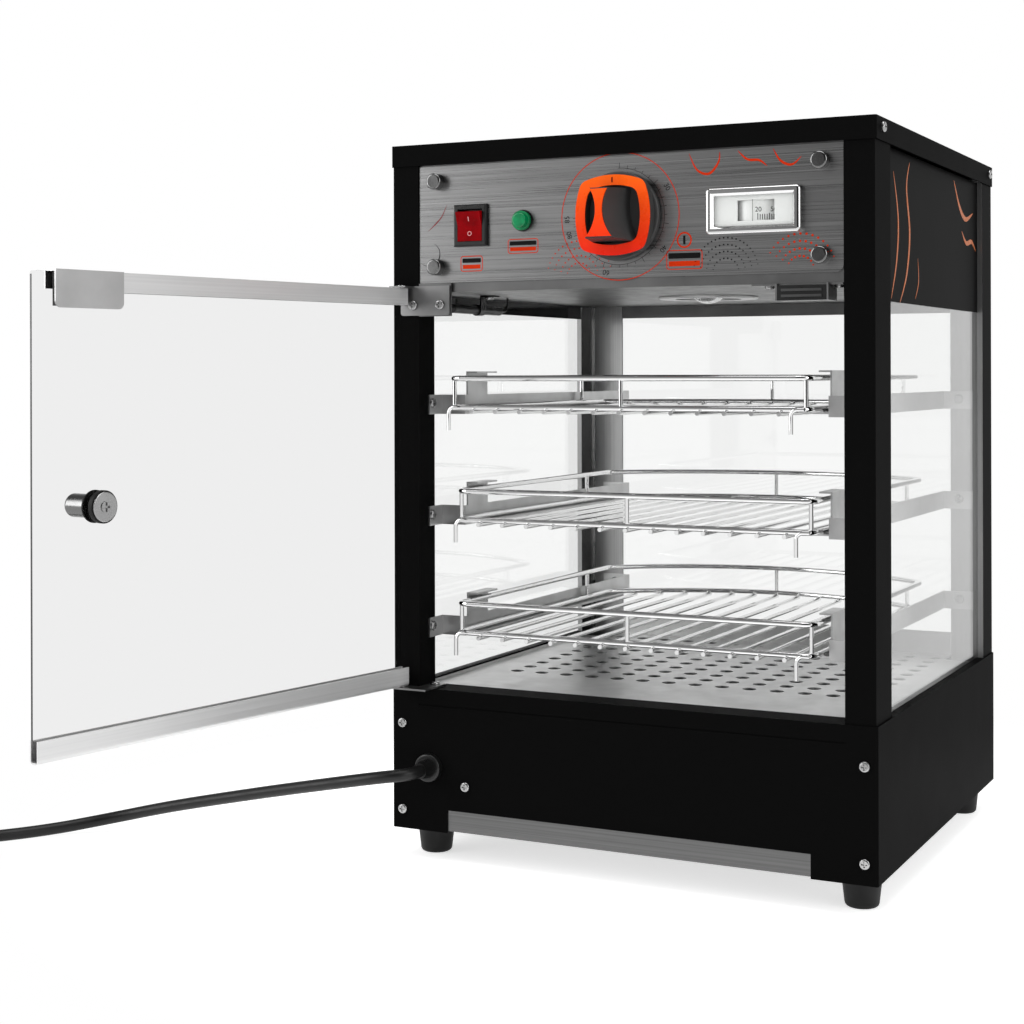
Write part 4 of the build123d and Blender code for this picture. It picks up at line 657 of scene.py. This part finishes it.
def add_ribbon(bm, points, width, where, closed=False, low=0.0, high=INK):
    """A closed flat band along a drawn line, with one width or a list of one for each point."""
    count = len(points)
    widths = width if isinstance(width, list) else [width] * count
    rows = []
    for index in range(count):
        before = points[index - 1] if index > 0 or closed else points[index]
        after = points[(index + 1) % count] if index < count - 1 or closed else points[index]
        along = Vector((after[0] - before[0], after[1] - before[1])).normalized()
        across = Vector((-along.y, along.x)) * widths[index] / 2
        here = Vector(points[index])
        left, right = here + across, here - across
        rows.append([bm.verts.new(where(p.x, p.y, w)) for p, w in
                     ((left, low), (right, low), (right, high), (left, high))])
    for index in range(count if closed else count - 1):
        one, two = rows[index], rows[(index + 1) % count]
        for side in range(4):
            bm.faces.new((one[side], one[(side + 1) % 4], two[(side + 1) % 4], two[side]))
    if not closed:
        bm.faces.new(rows[0])
        bm.faces.new(rows[-1][::-1])


def add_curl(bm, corners, width, where, low=0.0, high=INK):
    """A smooth stroke through corner points, which swells from a thin end to the middle and back."""
    line = curl_points(corners)
    last = len(line) - 1
    least = 0.15
    widths = [width * (least + (1 - least) * math.sin(math.pi * index / last)) for index in range(last + 1)]
    add_ribbon(bm, line, widths, where, low=low, high=high)


def add_fan(bm, fan, where):
    """Rows of printed dots along arcs, smaller towards the ends of each row."""
    centre, first_radius, step, ends, first_count, more, size = fan
    for row in range(FAN_ROWS):
        count = first_count + more * row
        spots = arc_points(first_radius + step * row, *ends, count, centre)
        for index, spot in enumerate(spots):
            share = math.sin(math.pi * (index + 0.5) / count)
            add_prism(bm, circle_points(size * (0.55 + 0.45 * share), 10, spot), where)


def add_number(bm, text, height, where, turn=0.0, at=(0, 0)):
    """A plain printed number, centred at a place of the drawing and turned by degrees."""
    curve = bpy.data.curves.new("number", "FONT")
    curve.body = text
    curve.size = height * 1.4
    curve.align_x = "CENTER"
    curve.align_y = "CENTER"
    curve.extrude = INK / 2
    holder = bpy.data.objects.new("number", curve)
    link(holder)
    bpy.context.view_layer.update()
    mesh = bpy.data.meshes.new_from_object(holder)
    bpy.data.objects.remove(holder)
    spin = Matrix.Rotation(math.radians(turn), 2)
    verts = []
    for vertex in mesh.vertices:
        flat = spin @ Vector((vertex.co.x, vertex.co.y))
        verts.append(bm.verts.new(where(at[0] + flat.x, at[1] + flat.y, vertex.co.z + INK / 2)))
    for polygon in mesh.polygons:
        bm.faces.new([verts[index] for index in polygon.vertices])
    bpy.data.meshes.remove(mesh)


# Drawn lines
def on_circle(radius, degrees, centre=(0, 0)):
    angle = math.radians(degrees)
    return (centre[0] + radius * math.cos(angle), centre[1] + radius * math.sin(angle))


def arc_points(radius, start, end, count, centre=(0, 0)):
    """Points on an arc, in degrees counted from the right."""
    return [on_circle(radius, start + (end - start) * index / (count - 1), centre) for index in range(count)]


def circle_points(radius, count, centre=(0, 0)):
    return arc_points(radius, 0, 360 - 360 / count, count, centre)


def curl_points(corners, steps=8):
    """A smooth line through corner points, by Catmull-Rom."""
    line = []
    padded = [corners[0]] + corners + [corners[-1]]
    for a, b, c, d in zip(padded, padded[1:], padded[2:], padded[3:]):
        for step in range(steps):
            t = step / steps
            point = []
            for axis in (0, 1):
                point.append(0.5 * (2 * b[axis] + (c[axis] - a[axis]) * t
                                    + (2 * a[axis] - 5 * b[axis] + 4 * c[axis] - d[axis]) * t * t
                                    + (3 * b[axis] - a[axis] - 3 * c[axis] + d[axis]) * t ** 3))
            line.append(tuple(point))
    line.append(corners[-1])
    return line


def rounded_outline(half_u, half_v, radius, centre=(0, 0), steps=5):
    points = []
    corners = ((1, 1, 0), (-1, 1, 90), (-1, -1, 180), (1, -1, 270))
    for side_u, side_v, start in corners:
        middle = (centre[0] + side_u * (half_u - radius), centre[1] + side_v * (half_v - radius))
        points += arc_points(radius, start, start + 90, steps, middle)
    return points


def rectangle(left, right, bottom, top):
    return [(left, bottom), (right, bottom), (right, top), (left, top)]


# Printing and marks
def make_dial(black, orange):
    """The thermostat's printed scale: an arc with ticks, plain numbers and an orange circle."""
    where = on_front(0, CONTROL_Z)
    bm = bmesh.new()
    add_ribbon(bm, arc_points(DIAL_ARC, *DIAL_ARC_ENDS, 120), DIAL_LINE, where)
    for index in range(DIAL_TICKS):
        reach = DIAL_LONG_TICK_REACH if index % 5 == 0 else DIAL_TICK_REACH
        degrees = 90 - DIAL_TICK_TURN * index
        add_ribbon(bm, [on_circle(DIAL_ARC, degrees), on_circle(reach, degrees)], DIAL_LINE, where)
    for text, degrees in DIAL_NUMBERS:
        spot = on_circle(DIAL_NUMBERS_REACH, degrees)
        add_number(bm, text, DIAL_NUMBER_HEIGHT, where, degrees - 90, spot)
    finish_mesh("dial_scale", bm, black, "cabinet")
    bm = bmesh.new()
    add_ribbon(bm, circle_points(DIAL_RING, 120), DIAL_RING_LINE, where, closed=True)
    finish_mesh("dial_ring", bm, orange, "cabinet")


def make_orange_print(orange):
    """Outlined label plates, a round badge, fans of dots and curls."""
    where = on_front(0, 0)
    bm = bmesh.new()
    for x, z, half_u, half_v in LABELS:
        add_ribbon(bm, rounded_outline(half_u, half_v, LABEL_CORNER, (x, z)), LABEL_LINE, where, closed=True)
        bar_z = z - half_v * LABEL_BAR_RISE
        bar_half = half_u - LABEL_LOWER_INSET
        add_ribbon(bm, [(x - bar_half, bar_z), (x + bar_half, bar_z)], half_v * LABEL_LOWER_BAR, where)
    add_ribbon(bm, circle_points(BADGE_RADIUS, 40, BADGE), BADGE_LINE, where, closed=True)
    for fan in ORANGE_FANS:
        add_fan(bm, fan, where)
    for corners in ORANGE_CURLS:
        add_curl(bm, corners, ORANGE_CURL_WIDTH, where)
    finish_mesh("panel_print_orange", bm, orange, "cabinet")


def make_black_print(black):
    """The label plates' upper bars, the badge's bar, a fan of dots and a curl."""
    where = on_front(0, 0)
    bm = bmesh.new()
    for x, z, half_u, half_v in LABELS:
        half = (half_u - LABEL_UPPER_INSET, half_v * LABEL_UPPER_BAR)
        middle = (x, z + half_v * LABEL_BAR_RISE)
        add_prism(bm, rounded_outline(*half, BAR_CORNER, middle), where)
    add_fan(bm, BLACK_FAN, where)
    add_prism(bm, rounded_outline(*BADGE_BAR_HALF, BAR_CORNER, BADGE), where)
    add_curl(bm, BLACK_CURL, BLACK_CURL_WIDTH, where)
    finish_mesh("panel_print_black", bm, black, "cabinet")


def make_red_print():
    bm = bmesh.new()
    add_curl(bm, RED_CURL, RED_CURL_WIDTH, on_front(0, 0))
    finish_mesh("panel_print_red", bm, ink("ink_dark_red", rgb(120, 30, 36)), "cabinet")


def make_switch_marks():
    bm = bmesh.new()
    add_ribbon(bm, [(0, -ROCKER_BAR_HALF), (0, ROCKER_BAR_HALF)], ROCKER_BAR_LINE, on_rocker(1))
    add_ribbon(bm, circle_points(ROCKER_RING, 28), ROCKER_RING_LINE, on_rocker(-1), closed=True)
    finish_mesh("switch_marks", bm, ink("ink_pale", rgb(226, 170, 172)), "rocker")


def make_knob_mark():
    bm = bmesh.new()
    outline = rounded_outline(*KNOB_MARK_HALF, KNOB_MARK_CORNER, (0, KNOB_MARK_REACH))
    add_prism(bm, outline, on_front(0, CONTROL_Z, KNOB_RING_TOP))
    finish_mesh("knob_mark", bm, ink("knob_mark", rgb(96, 8, 6)), "thermostat_knob")


def make_thermometer(black):
    """The white face behind the pane with its window and hairline, and the scale on the drum."""
    where = on_front(*THERMOMETER, FACE_FRONT)
    half_u, half_v = FACE_HALF
    outer = rectangle(-half_u, half_u, -half_v, half_v)
    inner = rectangle(WINDOW_LEFT, WINDOW_RIGHT, -WINDOW_HALF, WINDOW_HALF)
    bm = bmesh.new()
    add_frame(bm, outer, inner, where, -FACE_THICKNESS, 0.0)
    white = moulded("thermometer_face", grey(240), 0.35)
    finish_mesh("thermometer_face", bm, white, "cabinet")
    bm = bmesh.new()
    for index in range(DRUM_TICKS):
        u = DRUM_FIRST_TICK + DRUM_TICK_STEP * index
        top = DRUM_TICK_LOW + (DRUM_LONG_TICK if index % 5 == 0 else DRUM_TICK)
        add_ribbon(bm, [(u, DRUM_TICK_LOW), (u, top)], DRUM_LINE, on_drum)
    for text, u in DRUM_NUMBERS:
        add_number(bm, text, DRUM_NUMBER_HEIGHT, on_drum, 0, (u, DRUM_NUMBER_V))
    finish_mesh("drum_scale", bm, black, "drum")
    bm = bmesh.new()
    reach = WINDOW_HALF + HAIRLINE_LAP
    line = [(HAIRLINE_U, -reach), (HAIRLINE_U, reach)]
    add_ribbon(bm, line, HAIRLINE_WIDTH, where, high=HAIRLINE_THICKNESS)
    finish_mesh("thermometer_hairline", bm, black, "cabinet")


def make_side_print():
    """The black band printed on the top of each side pane, with plain flowing strokes."""
    film = glass_print()
    amber = ink("glass_print_amber", rgb(176, 92, 40), 0.3)
    for name, side in (("side_print_right", 1), ("side_print_left", -1)):
        where = on_side(side)
        bm = bmesh.new()
        outline = rectangle(GLASS_FRONT + PRINT_MARGIN, GLASS_BACK - PRINT_MARGIN, PRINT_LOW, PRINT_HIGH)
        add_prism(bm, outline, where, 0.0, PRINT_FILM)
        finish_mesh(name, bm, film, "cabinet")
        bm = bmesh.new()
        for corners, width in SIDE_STROKES:
            add_curl(bm, corners, width, where, PRINT_FILM, PRINT_STROKE)
        finish_mesh(name + "_strokes", bm, amber, "cabinet")


def make_door_edge_shade():
    """The outer arris of the door glass, along its free edge, with painted shade: an opaque grey strip for
    the darkness that the clear glass shows there.
    """
    turn = math.radians(DOOR_TURN)
    out = Vector((math.cos(turn), math.sin(turn), 0))
    along = Vector((math.sin(turn), -math.cos(turn), 0))
    low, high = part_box("door_glass")
    inner = DOOR_OUTER + DOOR_THICKNESS
    end = (inner * out.y - low[1]) / -along.y
    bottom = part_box("door_bottom_channel")[1][2]
    left = DOOR_OUTER + ARRIS_MARGIN
    outline = rectangle(left, left + ARRIS_WIDTH, bottom, high[2] - ARRIS_TOP_GAP)
    bm = bmesh.new()
    add_prism(bm, outline, lambda u, v, w: out * u + along * (end + w) + Vector((0, 0, v)),
              -ARRIS_SINK, ARRIS_PROUD)
    # Painted shade: opaque grey for the darkness that the clear glass shows along its edge
    finish_mesh("door_glass_edge_painted_shade", bm, moulded("glass_edge_painted_shade", grey(60)), "door")


# Cord
def coil_points():
    """Control points of the wound length: in on the floor, up half a turn, and out on top."""
    last, before = Vector(CORD_ROUTE[-1]), Vector(CORD_ROUTE[-2])
    heading = (last - before).normalized()
    place = last + heading * CORD_DIAMETER
    points = []
    rise = 2 * COIL_STEP
    turns = [(COIL_RADIUS + index * COIL_STEP, 0.0) for index in range(COIL_TURNS_IN, 0, -1)]
    turns.append((COIL_RADIUS, rise))
    for index in range(1, COIL_TURNS_OUT + 1):
        widening = COIL_LAST_WIDENING if index == COIL_TURNS_OUT else 0.0
        turns.append((COIL_RADIUS + index * COIL_STEP + widening, 0.0))
    for radius, climb in turns:
        across = Vector((-heading.y, heading.x, 0))
        middle = place + across * radius
        reach = radius / math.cos(math.pi / (2 * COIL_POINTS))
        for index in range(COIL_POINTS):
            share = (index + 0.5) / COIL_POINTS
            angle = math.pi * share
            point = middle - across * reach * math.cos(angle) + heading * reach * math.sin(angle)
            points.append(point + Vector((0, 0, climb * share)))
        place = place + across * 2 * radius + Vector((0, 0, climb))
        heading = -heading
    points.append(place + heading * CORD_DIAMETER)
    return points


def make_cord():
    curve = bpy.data.curves.new("mains_lead", "CURVE")
    curve.dimensions = "3D"
    curve.resolution_u = 10
    curve.bevel_depth = CORD_DIAMETER / 2
    curve.bevel_resolution = 6
    curve.use_fill_caps = True
    points = [Vector(p) for p in CORD_ROUTE] + coil_points()
    spline = curve.splines.new("NURBS")
    spline.points.add(len(points) - 1)
    for target, point in zip(spline.points, points):
        target.co = (*point, 1.0)
    spline.order_u = 3
    spline.use_endpoint_u = True
    lead = bpy.data.objects.new("mains_lead", curve)
    link(lead)
    curve.materials.append(cord_sheath("cord_sheath_black"))
    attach(lead, "cabinet")
    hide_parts("mains_cord", "cord_coil")


# Light, floor and background
def studio_tone(nodes, links):
    """What polished faces mirror: white low down, a dim ceiling, and the dark room behind the camera."""
    place = nodes.new("ShaderNodeTexCoord").outputs["Generated"]
    axes = nodes.new("ShaderNodeSeparateXYZ")
    links.new(place, axes.inputs["Vector"])
    ceiling = map_range(nodes, links, axes.outputs["Z"], *CEILING_RISE, 1.0, CEILING_TONE)
    towards = along_direction(nodes, links, place, DARK_SIDE)
    dark = map_range(nodes, links, towards, *DARK_SPREAD, 1.0, DARK_TONE)
    return join(nodes, links, "MULTIPLY", ceiling, dark)


def make_background(nodes, strength):
    node = nodes.new("ShaderNodeBackground")
    node.inputs["Color"].default_value = (1, 1, 1, 1)
    node.inputs["Strength"].default_value = strength
    return node


def make_world():
    """Soft light all round, a studio for mirrors, and white where the camera looks past the object."""
    world = bpy.data.worlds.new("studio")
    bpy.context.scene.world = world
    world.use_nodes = True
    nodes, links = world.node_tree.nodes, world.node_tree.links
    nodes.clear()
    lighting = make_background(nodes, WORLD_LIGHT).outputs["Background"]
    studio = make_background(nodes, 1.0)
    links.new(studio_tone(nodes, links), studio.inputs["Strength"])
    seen = make_background(nodes, 1.0).outputs["Background"]
    glossy = any_ray(nodes, links, "Is Glossy Ray")
    straight = any_ray(nodes, links, "Is Camera Ray", "Is Transmission Ray")
    around = mix_shaders(nodes, links, glossy, lighting, studio.outputs["Background"])
    output = nodes.new("ShaderNodeOutputWorld")
    links.new(mix_shaders(nodes, links, straight, around, seen), output.inputs["Surface"])


def floor_white():
    """A white floor that keeps the shadow close to the object."""
    paint = Paint("floor_white", (0.9, 0.9, 0.9, 1), 0.9, shine=0.1)
    nodes, links = paint.nodes, paint.links
    glow = nodes.new("ShaderNodeEmission")
    glow.inputs["Strength"].default_value = FLOOR_GLOW
    near = nodes.new("ShaderNodeAddShader")
    links.new(paint.surface, near.inputs[0])
    links.new(glow.outputs["Emission"], near.inputs[1])
    white = nodes.new("ShaderNodeEmission")
    reach = nodes.new("ShaderNodeVectorMath")
    reach.operation = "LENGTH"
    links.new(paint.place, reach.inputs[0])
    far = map_range(nodes, links, reach.outputs["Value"], *SHADOW_FADE, 0.0, 1.0)
    seen = mix_shaders(nodes, links, far, near.outputs["Shader"], white.outputs["Emission"])
    looked = any_ray(nodes, links, "Is Camera Ray", "Is Transmission Ray", "Is Glossy Ray")
    paint.show(mix_shaders(nodes, links, looked, paint.surface, seen))
    return paint.material


def make_floor():
    bm = bmesh.new()
    corners = rectangle(-FLOOR_HALF, FLOOR_HALF, -FLOOR_HALF, FLOOR_HALF)
    bm.faces.new([bm.verts.new((x, y, 0)) for x, y in corners])
    mesh = bpy.data.meshes.new("floor")
    bm.to_mesh(mesh)
    bm.free()
    mesh.materials.append(floor_white())
    floor = bpy.data.objects.new("floor", mesh)
    link(floor)


def make_lamp(name, place, size, power):
    """A softbox that looks at the object."""
    data = bpy.data.lights.new(name, "AREA")
    data.shape = "RECTANGLE"
    data.size, data.size_y = size
    data.energy = power
    lamp = bpy.data.objects.new(name, data)
    link(lamp)
    lamp.location = place
    lamp.rotation_mode = "QUATERNION"
    lamp.rotation_quaternion = (Vector(LAMP_AIM) - Vector(place)).to_track_quat("-Z", "Y")


bpy.context.scene.view_settings.view_transform = "Standard"
make_camera()
make_cord()
dress_nodes()
black_ink = ink("ink_black", grey(18))
orange_ink = ink("ink_orange", rgb(196, 46, 6))
make_dial(black_ink, orange_ink)
make_orange_print(orange_ink)
make_black_print(black_ink)
make_red_print()
make_switch_marks()
make_thermometer(black_ink)
make_side_print()
make_knob_mark()
make_door_edge_shade()
make_world()
make_floor()
make_lamp("left_softbox", (-1.7, -1.5, 1.0), (1.0, 1.6), 22)
make_lamp("right_softbox", (1.9, -0.6, 1.1), (0.9, 1.4), 12)
make_lamp("top_softbox", (0.1, -0.2, 2.2), (1.6, 1.6), 26)
